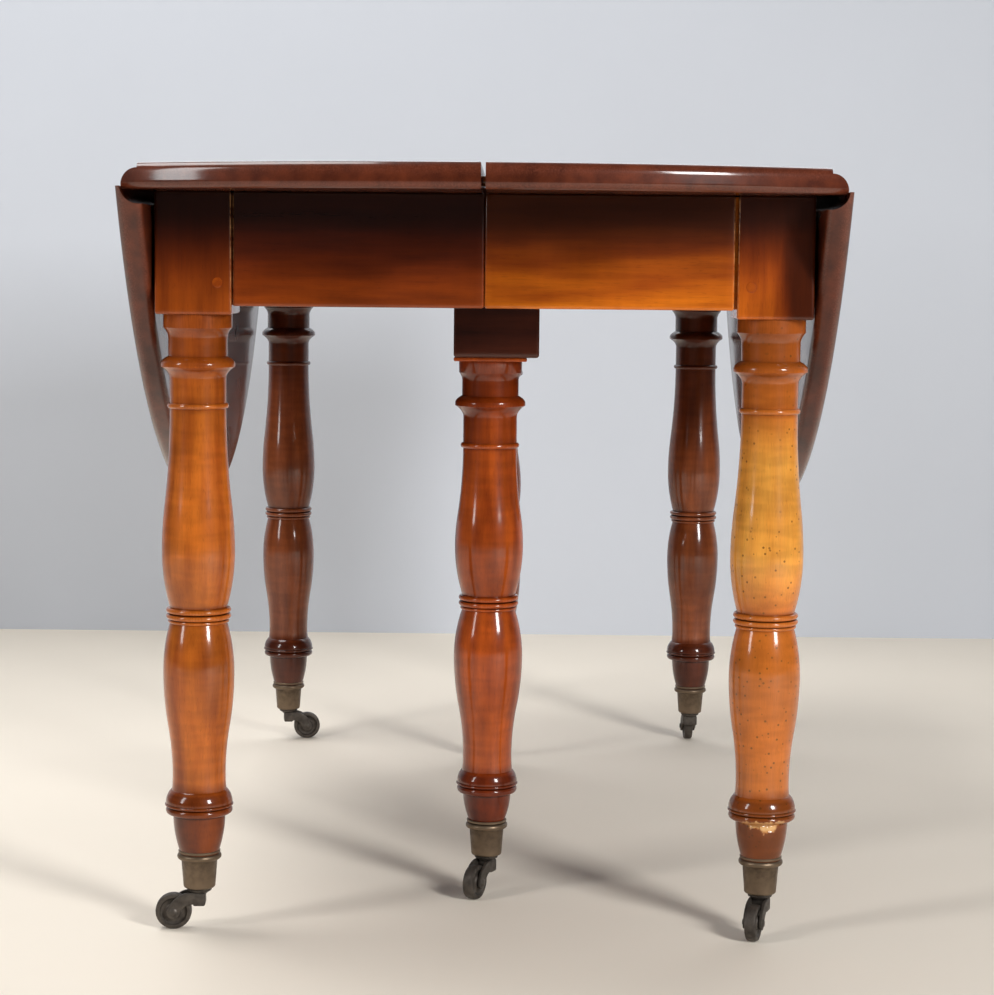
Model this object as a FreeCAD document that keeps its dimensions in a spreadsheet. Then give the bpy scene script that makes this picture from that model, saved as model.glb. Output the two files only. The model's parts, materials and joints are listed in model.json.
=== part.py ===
"""Six-legged drop-leaf extending dining table with a round top.

Frame: millimetres, +Z up, +X across the two leaves (the way the table is drawn out), +Y along the hinges.
The origin is on the floor under the middle of the table. The leaves hang, and the two halves are closed.
Each half is drawn for the right-hand side (+X) and turned half a turn about Z for the left-hand side.
"""

import FreeCAD, Part
import math
import os

import Sketcher

DOC = FreeCAD.newDocument("drop_leaf_table")
SHEET = DOC.addObject("Spreadsheet::Sheet", "Sizes")

DRIVING = {
    # Top and rule joint
    "table_height": 736.0,
    "top_thickness": 24.0,
    "top_gap": 4.0,  # open seam between the two fixed halves
    "rim_upper_round": 9.0,
    "rim_lower_round": 7.0,
    "hinge_line": 315.0,  # centre of the table to the axis of a leaf
    "leaf_width": 335.0,  # axis of a leaf to the middle of its round rim
    "rule_fillet": 5.0,  # square step above the ovolo
    "hinge_depth": 3.0,  # underside of the top to the axis of a leaf
    "rule_gap": 0.5,  # running gap of the rule joint
    # Under-frame
    "leaf_clearance": 3.5,  # hanging leaf to the leg blocks
    "end_overhang": 181.0,  # middle of the round rim to the axis of a corner leg, along Y
    "block_width": 72.0,
    "block_height": 115.0,
    "block_arris": 2.0,
    "apron_lift": 8.0,  # bottom of a leg block to the bottom of an apron
    "apron_thickness": 24.0,
    "apron_setback": 3.0,  # apron face behind the face of the leg block
    "apron_seam": 0.5,  # between the two halves of an end apron
    "tenon_length": 26.0,
    "tenon_thickness": 10.0,
    "tenon_shoulder": 14.0,  # apron edge to tenon edge, above and below
    "peg_radius": 5.0,
    "peg_length": 30.0,
    "peg_inset": 13.0,  # shoulder of the tenon to the middle of its peg
    "peg_rise": 30.0,  # bottom of the block to the middle of a peg
    "dowel_radius": 5.0,
    "dowel_length": 44.0,
    "dowel_shown": 20.0,  # stretch of a dowel that stands in the other half
    "dowel_end": 170.0,  # middle of the round rim to the outer dowel
    "dowel_inner": 110.0,
    "socket_clearance": 0.3,
    # Extension slides
    "centre_leg_inset": 141.0,  # corner leg to centre leg, along Y
    "bar_width": 30.0,
    "bar_gap": 1.0,
    "bar_height": 82.5,
    "bar_end_gap": 11.5,  # end of a bar to the far side apron
    "bar_top_clearance": 4.0,  # running bars below the underside of the top
    "bar_relief": 1.0,  # outer bars below the other half of the top
    "tongue_root": 16.0,
    "tongue_tip": 24.0,
    "tongue_depth": 9.0,
    "tongue_length": 160.0,
    "tongue_level": 40.0,  # bottom of a bar to the middle of its tongue
    "tongue_clearance": 0.4,
    "groove_stop": 10.0,  # solid end of a groove that stops the tongue
    # Centre bearer
    "bearer_width": 85.0,
    "bearer_height": 71.5,
    "bearer_clearance": 0.5,  # running bars above the bearer
    "bearer_end": 42.0,  # centre leg to the end of the bearer
    "bearer_chamfer": 5.0,
    "bearer_shift": 11.0,  # middle of the bearer, right of the seam
    "centre_leg_shift": 5.0,  # centre legs, right of the seam
    "leg_plate_width": 73.0,
    "leg_plate_thickness": 4.0,
    "leg_spigot_radius": 15.0,
    "leg_spigot_length": 45.0,
    # Leaf hinges
    "hinge_outer": 370.0,  # middle of the table to an outer hinge, along Y
    "flap_width": 38.0,
    "flap_thickness": 2.5,
    "top_flap_length": 32.0,
    "leaf_flap_length": 62.0,
    "knuckle_radius": 3.5,
    "knuckle_middle": 14.0,  # length of the leaf flap's knuckle
    "knuckle_gap": 0.4,
    "hinge_pin_radius": 1.6,
    "hinge_pin_clearance": 0.05,
    "mortise_clearance": 0.5,
    # Lopers that hold a raised leaf
    "guide_from_slides": 35.7,  # channel of a loper to the nearest bar
    "loper_width": 32.0,
    "loper_height": 24.0,
    "loper_from_centre": 35.5,
    "loper_clearance": 0.3,
    "guide_cheek": 14.0,
    "guide_length": 44.0,
    "guide_from_centre": 75.0,
    # Casters
    "wheel_radius": 17.5,
    "wheel_width": 11.0,
    "wheel_top_gap": 1.0,
    "axle_radius": 2.5,
    "axle_clearance": 0.05,
    "axle_head_radius": 4.2,
    "axle_head_height": 1.4,
    "caster_trail": 25.0,
    "fork_cheek": 3.4,
    "fork_side_gap": 0.6,
    "fork_eye_radius": 6.5,
    "fork_crown_height": 4.7,
    "fork_crown_back": 10.0,
    "fork_crown_front": 15.0,
    "fork_top_gap": 0.3,  # crown below the bottom of the cup
    "pintle_radius": 4.0,
    "pintle_end_gap": 0.8,  # end of the pintle below the foot of the leg
    "pintle_clearance": 0.08,
    "cup_floor": 4.0,
    "cup_recess": 2.0,  # floor of the cup to the foot of the leg
    "cup_height": 37.5,
    "cup_foot_radius": 15.5,
    "cup_neck_radius": 17.3,
    "cup_ring_height": 7.0,
    "cup_ring_swell": 3.2,
    "cup_ring_base": 18.2,
    "foot_tenon_radius": 13.5,
    "foot_clearance": 0.05,
    # Turning of a corner leg: heights, radii, and drops below the square at its top
    "corner_foot_height": 36.0,
    "corner_foot_radius": 19.6,
    "corner_foot_swell": 25.2,
    "corner_low_bead_base": 28.8,
    "corner_low_bead_height": 7.3,
    "corner_low_bead_swell": 3.4,
    "corner_low_neck_radius": 25.6,
    "corner_low_belly_radius": 34.2,
    "corner_mid_bead_base": 27.6,
    "corner_mid_bead_height": 7.6,
    "corner_mid_bead_swell": 3.5,
    "corner_high_belly_radius": 35.0,
    "corner_high_neck_radius": 26.8,
    "corner_ring_drop": 90.0,
    "corner_ring_height": 5.4,
    "corner_ring_swell": 2.4,
    "corner_waist_drop": 69.0,
    "corner_collar_drop": 50.0,
    "corner_collar_radius": 35.3,
    "corner_collar_band": 2.6,
    "corner_collar_dome": 7.4,
    "corner_throat_radius": 28.0,
    "corner_throat_drop": 23.0,
    "corner_disc_radius": 32.7,
    "corner_disc_drop": 13.0,
    # Turning of a centre leg
    "centre_foot_height": 28.5,
    "centre_foot_radius": 18.6,
    "centre_foot_swell": 24.4,
    "centre_low_bead_base": 27.4,
    "centre_low_bead_height": 7.6,
    "centre_low_bead_swell": 3.3,
    "centre_low_neck_radius": 25.0,
    "centre_low_belly_radius": 35.0,
    "centre_mid_bead_base": 27.0,
    "centre_mid_bead_height": 7.5,
    "centre_mid_bead_swell": 3.4,
    "centre_high_belly_radius": 34.7,
    "centre_high_neck_radius": 27.2,
    "centre_ring_drop": 88.5,
    "centre_ring_height": 5.6,
    "centre_ring_swell": 2.5,
    "centre_waist_drop": 65.5,
    "centre_collar_drop": 45.5,
    "centre_collar_radius": 35.6,
    "centre_collar_band": 2.6,
    "centre_collar_dome": 7.4,
    "centre_throat_radius": 28.6,
    "centre_throat_drop": 20.5,
    "centre_disc_radius": 31.9,
    "centre_disc_drop": 12.0,
}

# How the turner divides a leg between its beads: the share of the lower vase, where the necks and
# bellies lie in each vase, and where a hollow passes into a swell
VASE_SHARES = {
    "corner": {
        "low_vase": 0.474,
        "low_neck": 0.133,
        "low_belly": 0.72,
        "low_turn": 0.475,
        "high_belly": 0.277,
        "high_turn": 0.33,
    },
    "centre": {
        "low_vase": 0.537,
        "low_neck": 0.137,
        "low_belly": 0.724,
        "low_turn": 0.49,
        "high_belly": 0.333,
        "high_turn": 0.31,
    },
}

# Way that each caster trails at rest, in degrees from +X
CASTER_TURNS = {
    "front_left": 183.0,
    "front_right": 251.0,
    "back_left": 8.0,
    "back_right": 92.0,
    "centre_front": 243.0,
    "centre_back": 118.0,
}


class Size:
    """A length worked out from the sheet: its value now, and the expression that keeps it up to date."""

    def __init__(self, value, text):
        self.value = value
        self.text = text

    @staticmethod
    def of(other):
        return other if isinstance(other, Size) else Size(float(other), repr(float(other)))

    def join(self, sign, other, value):
        return Size(value, f"({self.text} {sign} {other.text})")

    def __add__(self, other):
        other = Size.of(other)
        return self.join("+", other, self.value + other.value)

    def __sub__(self, other):
        other = Size.of(other)
        return self.join("-", other, self.value - other.value)

    def __mul__(self, other):
        other = Size.of(other)
        return self.join("*", other, self.value * other.value)

    def __truediv__(self, other):
        other = Size.of(other)
        return self.join("/", other, self.value / other.value)

    def __radd__(self, other):
        return Size.of(other) + self

    def __rsub__(self, other):
        return Size.of(other) - self

    def __rmul__(self, other):
        return Size.of(other) * self

    def __neg__(self):
        return Size.of(0.0) - self


def root(size):
    return Size(math.sqrt(size.value), f"sqrt({size.text})")


class Sheet:
    """The driving dimensions, each read as sizes.NAME."""

    def __init__(self, values):
        for row, (alias, value) in enumerate(values.items(), start=1):
            SHEET.set(f"A{row}", alias)
            SHEET.set(f"B{row}", str(value))
            SHEET.setAlias(f"B{row}", alias)
            setattr(self, alias, Size(value, f"Sizes.{alias}"))


sizes = Sheet(DRIVING)
DOC.recompute()

ZERO = Size.of(0.0)
Z_AXIS = FreeCAD.Vector(0, 0, 1)
Y_AXIS = FreeCAD.Vector(0, 1, 0)
NODES = []


def new_body(label):
    made = DOC.addObject("PartDesign::Body", label)
    made.Label = label
    return made


def node(label, pieces):
    """Names a sub-part: one body, or several solids kept together as a group."""
    if len(pieces) == 1:
        pieces[0].Label = label
        NODES.append(pieces[0])
        return
    group = DOC.addObject("Part::Compound", label)
    group.Links = pieces
    group.Label = label
    NODES.append(group)


def place(made, x=ZERO, y=ZERO, z=ZERO, turn=None):
    made.Placement = FreeCAD.Placement(FreeCAD.Vector(), turn or FreeCAD.Rotation())
    for axis, size in zip("xyz", (x, y, z)):
        made.setExpression(f"Placement.Base.{axis}", Size.of(size).text)


def arc_between(start, end, centre_on, centre):
    """Minor arc between two points whose centre has the given x or y, and whether it runs forwards."""
    (ax, ay), (bx, by) = start, end
    mid_x, mid_y = (ax + bx) / 2, (ay + by) / 2
    run_x, run_y = bx - ax, by - ay
    along = (centre - mid_x) / -run_y if centre_on == "x" else (centre - mid_y) / run_x
    cx, cy = mid_x - along * run_y, mid_y + along * run_x
    first = math.atan2(ay - cy, ax - cx)
    last = math.atan2(by - cy, bx - cx)
    forwards = (last - first) % (2 * math.pi) < math.pi
    if not forwards:
        first, last = last, first
    circle = Part.Circle(FreeCAD.Vector(cx, cy, 0), Z_AXIS, math.hypot(ax - cx, ay - cy))
    return Part.ArcOfCircle(circle, first, last), forwards


def tie(made, kind, item, point, size):
    """Holds one coordinate of a sketch point at a size from the sheet."""
    size = Size.of(size)
    index = made.addConstraint(Sketcher.Constraint(kind, -1, 1, item, point, size.value))
    made.setExpression(f"Constraints[{index}]", size.text)


def new_sketch(body, plane, offset=ZERO):
    made = body.newObject("Sketcher::SketchObject", "outline")
    support = [face for face in body.Origin.OriginFeatures if face.Role == plane][0]
    made.AttachmentSupport = [(support, "")]
    made.MapMode = "FlatFace"
    made.setExpression("AttachmentOffset.Base.z", Size.of(offset).text)
    return made


def outline(body, plane, points, offset=ZERO):
    """Closed outline through the points. A third item, such as ("y", level), makes the stretch from that
    point to the next one an arc whose centre has that coordinate."""
    made = new_sketch(body, plane, offset)
    count = len(points)
    ends = []
    for index, point in enumerate(points):
        start = [Size.of(value).value for value in point[:2]]
        end = [Size.of(value).value for value in points[(index + 1) % count][:2]]
        if len(point) == 3:
            centre_on, centre = point[2]
            curve, forwards = arc_between(start, end, centre_on, Size.of(centre).value)
        else:
            curve = Part.LineSegment(FreeCAD.Vector(*start, 0), FreeCAD.Vector(*end, 0))
            forwards = True
        made.addGeometry(curve, False)
        ends.append((1, 2) if forwards else (2, 1))
    for index, point in enumerate(points):
        following = (index + 1) % count
        made.addConstraint(
            Sketcher.Constraint("Coincident", index, ends[index][1], following, ends[following][0])
        )
        tie(made, "DistanceX", index, ends[index][0], point[0])
        tie(made, "DistanceY", index, ends[index][0], point[1])
        if len(point) == 3:
            centre_on, centre = point[2]
            tie(made, "DistanceX" if centre_on == "x" else "DistanceY", index, 3, centre)
    return made


def ring(body, plane, x, y, radius, offset=ZERO):
    """Circle about a point of the plane."""
    made = new_sketch(body, plane, offset)
    x, y = Size.of(x), Size.of(y)
    centre = FreeCAD.Vector(x.value, y.value, 0)
    made.addGeometry(Part.Circle(centre, Z_AXIS, radius.value), False)
    tie(made, "DistanceX", 0, 3, x)
    tie(made, "DistanceY", 0, 3, y)
    index = made.addConstraint(Sketcher.Constraint("Radius", 0, radius.value))
    made.setExpression(f"Constraints[{index}]", radius.text)
    return made


def oblong(x_low, x_high, y_low, y_high):
    return [(x_low, y_low), (x_high, y_low), (x_high, y_high), (x_low, y_high)]


def extrude(body, kind, profile, length, side="One side", reverse=False):
    made = body.newObject(f"PartDesign::{kind}", kind.lower())
    made.Profile = profile
    made.SideType = side
    made.Reversed = reverse
    made.setExpression("Length", Size.of(length).text)
    return made


def pad(body, profile, length, **options):
    return extrude(body, "Pad", profile, length, **options)


def pocket(body, profile, length, **options):
    """Cuts the profile out, and makes sure that the cut took something away."""
    DOC.recompute()
    before = body.Shape.Volume
    made = extrude(body, "Pocket", profile, length, **options)
    DOC.recompute()
    if not body.Shape.Volume < before:
        raise RuntimeError(f"a pocket cuts nothing from {body.Label}")
    return made


def revolve(body, profile):
    made = body.newObject("PartDesign::Revolution", "turning")
    made.Profile = profile
    made.ReferenceAxis = (profile, ["V_Axis"])
    made.Angle = 360
    return made


def dress(body, kind, size_name, size, chosen):
    """Rounds or bevels the edges of the body that pass the test."""
    DOC.recompute()
    base = body.Tip
    names = [f"Edge{n}" for n, edge in enumerate(base.Shape.Edges, start=1) if chosen(edge)]
    made = body.newObject(f"PartDesign::{kind}", kind.lower())
    made.Base = (base, names)
    made.setExpression(size_name, size.text)
    return made


def turned(about_z, down=False):
    """Turn about Z, after laying a leaf from level to hanging."""
    turn = FreeCAD.Rotation(Z_AXIS, about_z)
    return turn.multiply(FreeCAD.Rotation(Y_AXIS, 90)) if down else turn


# Levels and places that several pieces share
underside = sizes.table_height - sizes.top_thickness
top_radius = sizes.hinge_line + sizes.leaf_width
axis_level = underside + sizes.hinge_depth
ovolo_radius = sizes.top_thickness - sizes.rule_fillet - sizes.hinge_depth
block_half = sizes.block_width / 2
block_bottom = underside - sizes.block_height
leg_across = sizes.hinge_line - sizes.hinge_depth - sizes.leaf_clearance - block_half
leg_along = top_radius - sizes.end_overhang
centre_leg_along = leg_along - sizes.centre_leg_inset
apron_bottom = block_bottom + sizes.apron_lift
apron_middle = block_half - sizes.apron_setback - sizes.apron_thickness / 2
side_apron_outer = leg_across + block_half - sizes.apron_setback
side_apron_inner = side_apron_outer - sizes.apron_thickness
peg_level = block_bottom + sizes.peg_rise
peg_side = block_half - sizes.peg_inset
dowel_outer = top_radius - sizes.dowel_end
bar_half_length = side_apron_inner - sizes.bar_end_gap
bar_pitch = sizes.bar_width + sizes.bar_gap
bar_top = underside - sizes.bar_top_clearance
bar_bottom = bar_top - sizes.bar_height
bearer_top = bar_bottom - sizes.bearer_clearance
bearer_bottom = bearer_top - sizes.bearer_height
hinge_places = (-sizes.hinge_outer, ZERO, sizes.hinge_outer)
inner_bar_side = centre_leg_along - bar_pitch * 2 - sizes.bar_width / 2
guide_half = sizes.loper_width / 2 + sizes.loper_clearance + sizes.guide_cheek
loper_along = inner_bar_side - sizes.guide_from_slides - guide_half
loper_places = {"front": -loper_along, "back": loper_along}
loper_bottom = underside - sizes.loper_clearance - sizes.loper_height
crown_bottom = sizes.wheel_radius * 2 + sizes.wheel_top_gap
crown_top = crown_bottom + sizes.fork_crown_height
cup_bottom = crown_top + sizes.fork_top_gap
cup_top = cup_bottom + sizes.cup_height
foot_level = cup_bottom + sizes.cup_floor + sizes.cup_recess
RIM_FACETS = (0, 30, 60, 90)  # degrees round an edge of the rim
BEAD_SHOULDER = 0.27  # share of a bead's height that slopes at each side


def bead(points, level, base, height, swell):
    """Adds one turned bead above the level, standing out from the base radius; returns its top level."""
    shoulder = height * BEAD_SHOULDER
    points += [
        (base, level),
        (base + swell, level + shoulder),
        (base + swell, level + height - shoulder),
    ]
    return level + height


def sweep(points, upright, end, pieces, rising=True):
    """Adds a turned curve between two points, up to but without its last one. The curve stands upright at
    one of them and leans more and more towards the other. Rising means that it starts from the upright point."""
    (radius, level), (end_radius, end_level) = upright, end
    steps = range(pieces) if rising else range(pieces, 0, -1)
    for step in steps:
        share = step / pieces
        lean = share * share
        points.append((radius + (end_radius - radius) * lean, level + (end_level - level) * share))


def ogee(points, low, high, share, pieces):
    """Adds the hollow and swell of a vase, upright at both ends; they meet at a share of its length."""
    turn = tuple(start + (end - start) * share for start, end in zip(low, high))
    sweep(points, low, turn, pieces)
    sweep(points, high, turn, pieces, rising=False)


def leg_turning(kind, top_level):
    """Profile of a turned leg, from the tenon in its cup up to the square at its top."""

    def size(name):
        return getattr(sizes, f"{kind}_{name}")

    shares = VASE_SHARES[kind]
    foot = (size("foot_radius"), cup_top)
    low_beads = cup_top + size("foot_height")
    low_vase = low_beads + size("low_bead_height") * 2
    ring_level = top_level - size("ring_drop")
    beads_height = size("mid_bead_height") * 2
    low_length = (ring_level - low_vase - beads_height) * shares["low_vase"]
    mid_beads = low_vase + low_length
    high_vase = mid_beads + beads_height
    low_neck = (size("low_neck_radius"), low_vase + low_length * shares["low_neck"])
    low_belly = (size("low_belly_radius"), low_vase + low_length * shares["low_belly"])
    high_belly = (size("high_belly_radius"), high_vase + (ring_level - high_vase) * shares["high_belly"])
    high_neck = (size("high_neck_radius"), ring_level)
    waist = (high_neck[0], top_level - size("waist_drop"))
    collar = (size("collar_radius"), top_level - size("collar_drop"))
    band = (size("collar_radius"), collar[1] + size("collar_band"))
    throat = (size("throat_radius"), top_level - size("throat_drop"))
    disc = (size("disc_radius"), top_level - size("disc_drop"))
    points = [
        (ZERO, foot_level),
        (sizes.foot_tenon_radius, foot_level),
        (sizes.foot_tenon_radius, cup_top),
    ]
    sweep(points, (size("foot_swell"), low_beads), foot, 2, rising=False)
    points.append((size("foot_swell"), low_beads))
    level = low_beads
    for _ in range(2):
        level = bead(points, level, size("low_bead_base"), size("low_bead_height"), size("low_bead_swell"))
    sweep(points, low_neck, (size("low_bead_base"), level), 2, rising=False)
    ogee(points, low_neck, low_belly, shares["low_turn"], 2)
    sweep(points, low_belly, (size("mid_bead_base"), mid_beads), 3)
    level = mid_beads
    for _ in range(2):
        level = bead(points, level, size("mid_bead_base"), size("mid_bead_height"), size("mid_bead_swell"))
    sweep(points, high_belly, (size("mid_bead_base"), level), 3, rising=False)
    ogee(points, high_belly, high_neck, shares["high_turn"], 2)
    level = bead(points, high_neck[1], high_neck[0], size("ring_height"), size("ring_swell"))
    points.append((high_neck[0], level))
    sweep(points, waist, collar, 2)
    points.append(collar)
    sweep(points, band, (throat[0], band[1] + size("collar_dome")), 2)
    points.append((throat[0], band[1] + size("collar_dome")))
    sweep(points, throat, disc, 2)
    points += [disc, (disc[0], top_level), (ZERO, top_level)]
    return points


def corner_leg(name, x, y, quarter_turns):
    """Leg with a square block mortised for two aprons, drawn with its apron sides at +X and +Y."""
    leg = new_body(name)
    revolve(leg, outline(leg, "XZ_Plane", leg_turning("corner", block_bottom)))
    square = oblong(-block_half, block_half, -block_half, block_half)
    pad(leg, outline(leg, "XY_Plane", square, block_bottom), sizes.block_height)
    dress(
        leg,
        "Chamfer",
        "Size",
        sizes.block_arris,
        lambda edge: edge.Length > sizes.block_height.value - 1
        and abs(edge.BoundBox.XMax) > block_half.value - 1
        and edge.BoundBox.XLength + edge.BoundBox.YLength < 1,
    )
    tenon_half = sizes.tenon_thickness / 2
    low = apron_bottom + sizes.tenon_shoulder
    high = underside - sizes.tenon_shoulder
    first = oblong(-apron_middle - tenon_half, -apron_middle + tenon_half, low, high)
    pocket(leg, outline(leg, "YZ_Plane", first, block_half), sizes.tenon_length)
    second = oblong(-apron_middle - tenon_half, -apron_middle + tenon_half, low, high)
    pocket(leg, outline(leg, "XZ_Plane", second, -block_half), sizes.tenon_length, reverse=True)
    pocket(leg, ring(leg, "XZ_Plane", peg_side, peg_level, sizes.peg_radius, block_half), sizes.peg_length)
    pocket(
        leg,
        ring(leg, "YZ_Plane", peg_side, peg_level, sizes.peg_radius, -block_half),
        sizes.peg_length,
        reverse=True,
    )
    place(leg, x, y, turn=turned(90 * quarter_turns))
    node(name, [leg])


def tenon_pegs(x, y, quarter_turns):
    """Two pegs of a corner leg, each through the tenon of one apron."""
    made = []
    for plane, offset, reverse in (("XZ_Plane", block_half, True), ("YZ_Plane", -block_half, False)):
        peg = new_body("peg")
        end = ring(peg, plane, peg_side, peg_level, sizes.peg_radius, offset)
        pad(peg, end, sizes.peg_length, reverse=reverse)
        place(peg, x, y, turn=turned(90 * quarter_turns))
        made.append(peg)
    return made


def centre_leg(name, x, y):
    """Leg under the middle of the slides, with a square plate and a round spigot up into the bearer."""
    leg = new_body(name)
    plate_bottom = bearer_bottom - sizes.leg_plate_thickness
    revolve(leg, outline(leg, "XZ_Plane", leg_turning("centre", plate_bottom)))
    half = sizes.leg_plate_width / 2
    plate = outline(leg, "XY_Plane", oblong(-half, half, -half, half), plate_bottom)
    pad(leg, plate, sizes.leg_plate_thickness)
    spigot = ring(leg, "XY_Plane", ZERO, ZERO, sizes.leg_spigot_radius, bearer_bottom)
    pad(leg, spigot, sizes.leg_spigot_length)
    place(leg, x, y)
    node(name, [leg])


def caster_cup(x, y):
    """Brass cup on the foot of a leg, with a half-round ring at its mouth."""
    cup = new_body("cup")
    bore = sizes.pintle_radius + sizes.pintle_clearance
    ring_low = cup_top - sizes.cup_ring_height
    floor_top = cup_bottom + sizes.cup_floor
    points = [
        (bore, cup_bottom),
        (sizes.cup_foot_radius, cup_bottom),
        (sizes.cup_neck_radius, ring_low),
    ]
    top = bead(points, ring_low, sizes.cup_ring_base, sizes.cup_ring_height, sizes.cup_ring_swell)
    inside = sizes.foot_tenon_radius + sizes.foot_clearance
    points += [(sizes.cup_ring_base, top), (inside, cup_top), (inside, floor_top), (bore, floor_top)]
    revolve(cup, outline(cup, "XZ_Plane", points))
    place(cup, x, y)
    return cup


def caster(name, x, y):
    """Swivelling fork with its axle riveted in, and its wheel. Drawn trailing along +X from the pintle."""
    degrees = CASTER_TURNS[name]
    turn = turned(degrees)
    slot_half = sizes.wheel_width / 2 + sizes.fork_side_gap
    fork_half = slot_half + sizes.fork_cheek
    trail, level, eye = sizes.caster_trail, sizes.wheel_radius, sizes.fork_eye_radius

    fork = new_body(f"fork_{name}")
    cheek = [
        (-sizes.fork_crown_back, crown_top),
        (-sizes.fork_crown_back, crown_bottom),
        (trail - eye, level, ("x", trail)),
        (trail, level - eye, ("x", trail)),
        (trail + eye, level),
        (sizes.fork_crown_front, crown_top),
    ]
    pad(fork, outline(fork, "XZ_Plane", cheek), fork_half * 2, side="Symmetric")
    reach = trail + sizes.wheel_radius + eye
    slot = oblong(-reach, reach, -eye, crown_bottom)
    pocket(fork, outline(fork, "XZ_Plane", slot), slot_half * 2, side="Symmetric")
    pintle = foot_level - sizes.pintle_end_gap - crown_top
    pad(fork, ring(fork, "XY_Plane", ZERO, ZERO, sizes.pintle_radius, crown_top), pintle)
    pad(fork, ring(fork, "XZ_Plane", trail, level, sizes.axle_radius), fork_half * 2, side="Symmetric")
    for face, reverse in ((-fork_half, True), (fork_half, False)):
        rivet = ring(fork, "XZ_Plane", trail, level, sizes.axle_head_radius, face)
        pad(fork, rivet, sizes.axle_head_height, reverse=reverse)
    place(fork, x, y, turn=turn)
    node(f"caster_fork_{name}", [fork])

    wheel = new_body(f"wheel_{name}")
    bore = sizes.axle_radius + sizes.axle_clearance
    pad(wheel, ring(wheel, "XZ_Plane", ZERO, ZERO, sizes.wheel_radius), sizes.wheel_width, side="Symmetric")
    pocket(wheel, ring(wheel, "XZ_Plane", ZERO, ZERO, bore), sizes.wheel_width * 2, side="Symmetric")
    hub_x = x + trail * math.cos(math.radians(degrees))
    hub_y = y + trail * math.sin(math.radians(degrees))
    place(wheel, hub_x, hub_y, level, turn)
    node(f"caster_wheel_{name}", [wheel])


def hinge_profile():
    """Section of the recess under the top for a hinge: flap, knuckle, and the way of the other flap."""
    knuckle = sizes.knuckle_radius + sizes.mortise_clearance
    inner = sizes.hinge_line - sizes.top_flap_length - sizes.mortise_clearance
    outer = sizes.hinge_line + ovolo_radius + sizes.mortise_clearance
    below = underside - sizes.top_thickness
    return [
        (inner, below),
        (outer, below),
        (outer, axis_level + sizes.mortise_clearance),
        (sizes.hinge_line + knuckle, axis_level + sizes.mortise_clearance),
        (sizes.hinge_line + knuckle, axis_level + knuckle),
        (sizes.hinge_line - knuckle, axis_level + knuckle),
        (sizes.hinge_line - knuckle, axis_level),
        (inner, axis_level),
    ]


def rim_round(radius, level, side):
    """Points of a rounded edge of the rim, from the upright side of the rim to its level face."""
    made = []
    for degrees in RIM_FACETS:
        out = math.cos(math.radians(degrees)) - 1
        up = side * (math.sin(math.radians(degrees)) - 1)
        made.append((top_radius + radius * out, level + radius * up))
    return made


def round_board(board):
    """Whole disc of the opened top, with its rounded rim. Each board is then cut from it."""
    lower = rim_round(sizes.rim_lower_round, underside, -1)
    upper = rim_round(sizes.rim_upper_round, sizes.table_height, 1)
    profile = [(ZERO, underside)] + lower[::-1] + upper + [(ZERO, sizes.table_height)]
    revolve(board, outline(board, "XZ_Plane", profile))


def saw(board, x_low, x_high):
    """Cuts away the board between two lines along Y."""
    reach = top_radius + sizes.top_thickness
    waste = outline(board, "XY_Plane", oblong(x_low, x_high, -reach, reach), underside)
    pocket(board, waste, sizes.top_thickness, reverse=True)


def fixed_top(label, turn):
    """Fixed half of the top: round ends, an ovolo for the rule joint, hinge recesses and dowel sockets."""
    board = new_body(label)
    seam = sizes.top_gap / 2
    beyond = top_radius + sizes.top_thickness
    round_board(board)
    saw(board, -beyond, seam)
    saw(board, sizes.hinge_line + ovolo_radius, beyond)
    ovolo_foot = root(ovolo_radius * ovolo_radius - sizes.hinge_depth * sizes.hinge_depth)
    waste = [
        (sizes.hinge_line, axis_level + ovolo_radius, ("x", sizes.hinge_line)),
        (sizes.hinge_line + ovolo_foot, underside),
        (sizes.hinge_line + ovolo_foot, underside - sizes.top_thickness),
        (beyond, underside - sizes.top_thickness),
        (beyond, sizes.table_height + sizes.top_thickness),
        (sizes.hinge_line, sizes.table_height + sizes.top_thickness),
    ]
    pocket(board, outline(board, "XZ_Plane", waste), top_radius * 2, side="Symmetric")
    width = sizes.flap_width + sizes.mortise_clearance * 2
    for along in hinge_places:
        pocket(board, outline(board, "XZ_Plane", hinge_profile(), along), width, side="Symmetric")
    level = sizes.table_height - sizes.top_thickness / 2
    held = sizes.dowel_length - sizes.dowel_shown
    for along in (-dowel_outer, sizes.dowel_inner):
        hole = ring(board, "YZ_Plane", along, level, sizes.dowel_radius, seam)
        pocket(board, hole, held, reverse=True)
    for along in (dowel_outer, -sizes.dowel_inner):
        wide = sizes.dowel_radius + sizes.socket_clearance
        hole = ring(board, "YZ_Plane", along, level, wide, seam)
        pocket(board, hole, sizes.dowel_shown, reverse=True)
    place(board, turn=turned(turn))
    node(label, [board])


def align_dowels(label, turn):
    """Dowels in the seam of one half that keep it level with the other half."""
    made = []
    start = sizes.top_gap / 2 + sizes.dowel_length - sizes.dowel_shown
    for along in (-dowel_outer, sizes.dowel_inner):
        dowel = new_body("dowel")
        level = sizes.table_height - sizes.top_thickness / 2
        end = ring(dowel, "YZ_Plane", along, level, sizes.dowel_radius, start)
        pad(dowel, end, sizes.dowel_length, reverse=True)
        place(dowel, turn=turned(turn))
        made.append(dowel)
    node(label, made)


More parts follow.
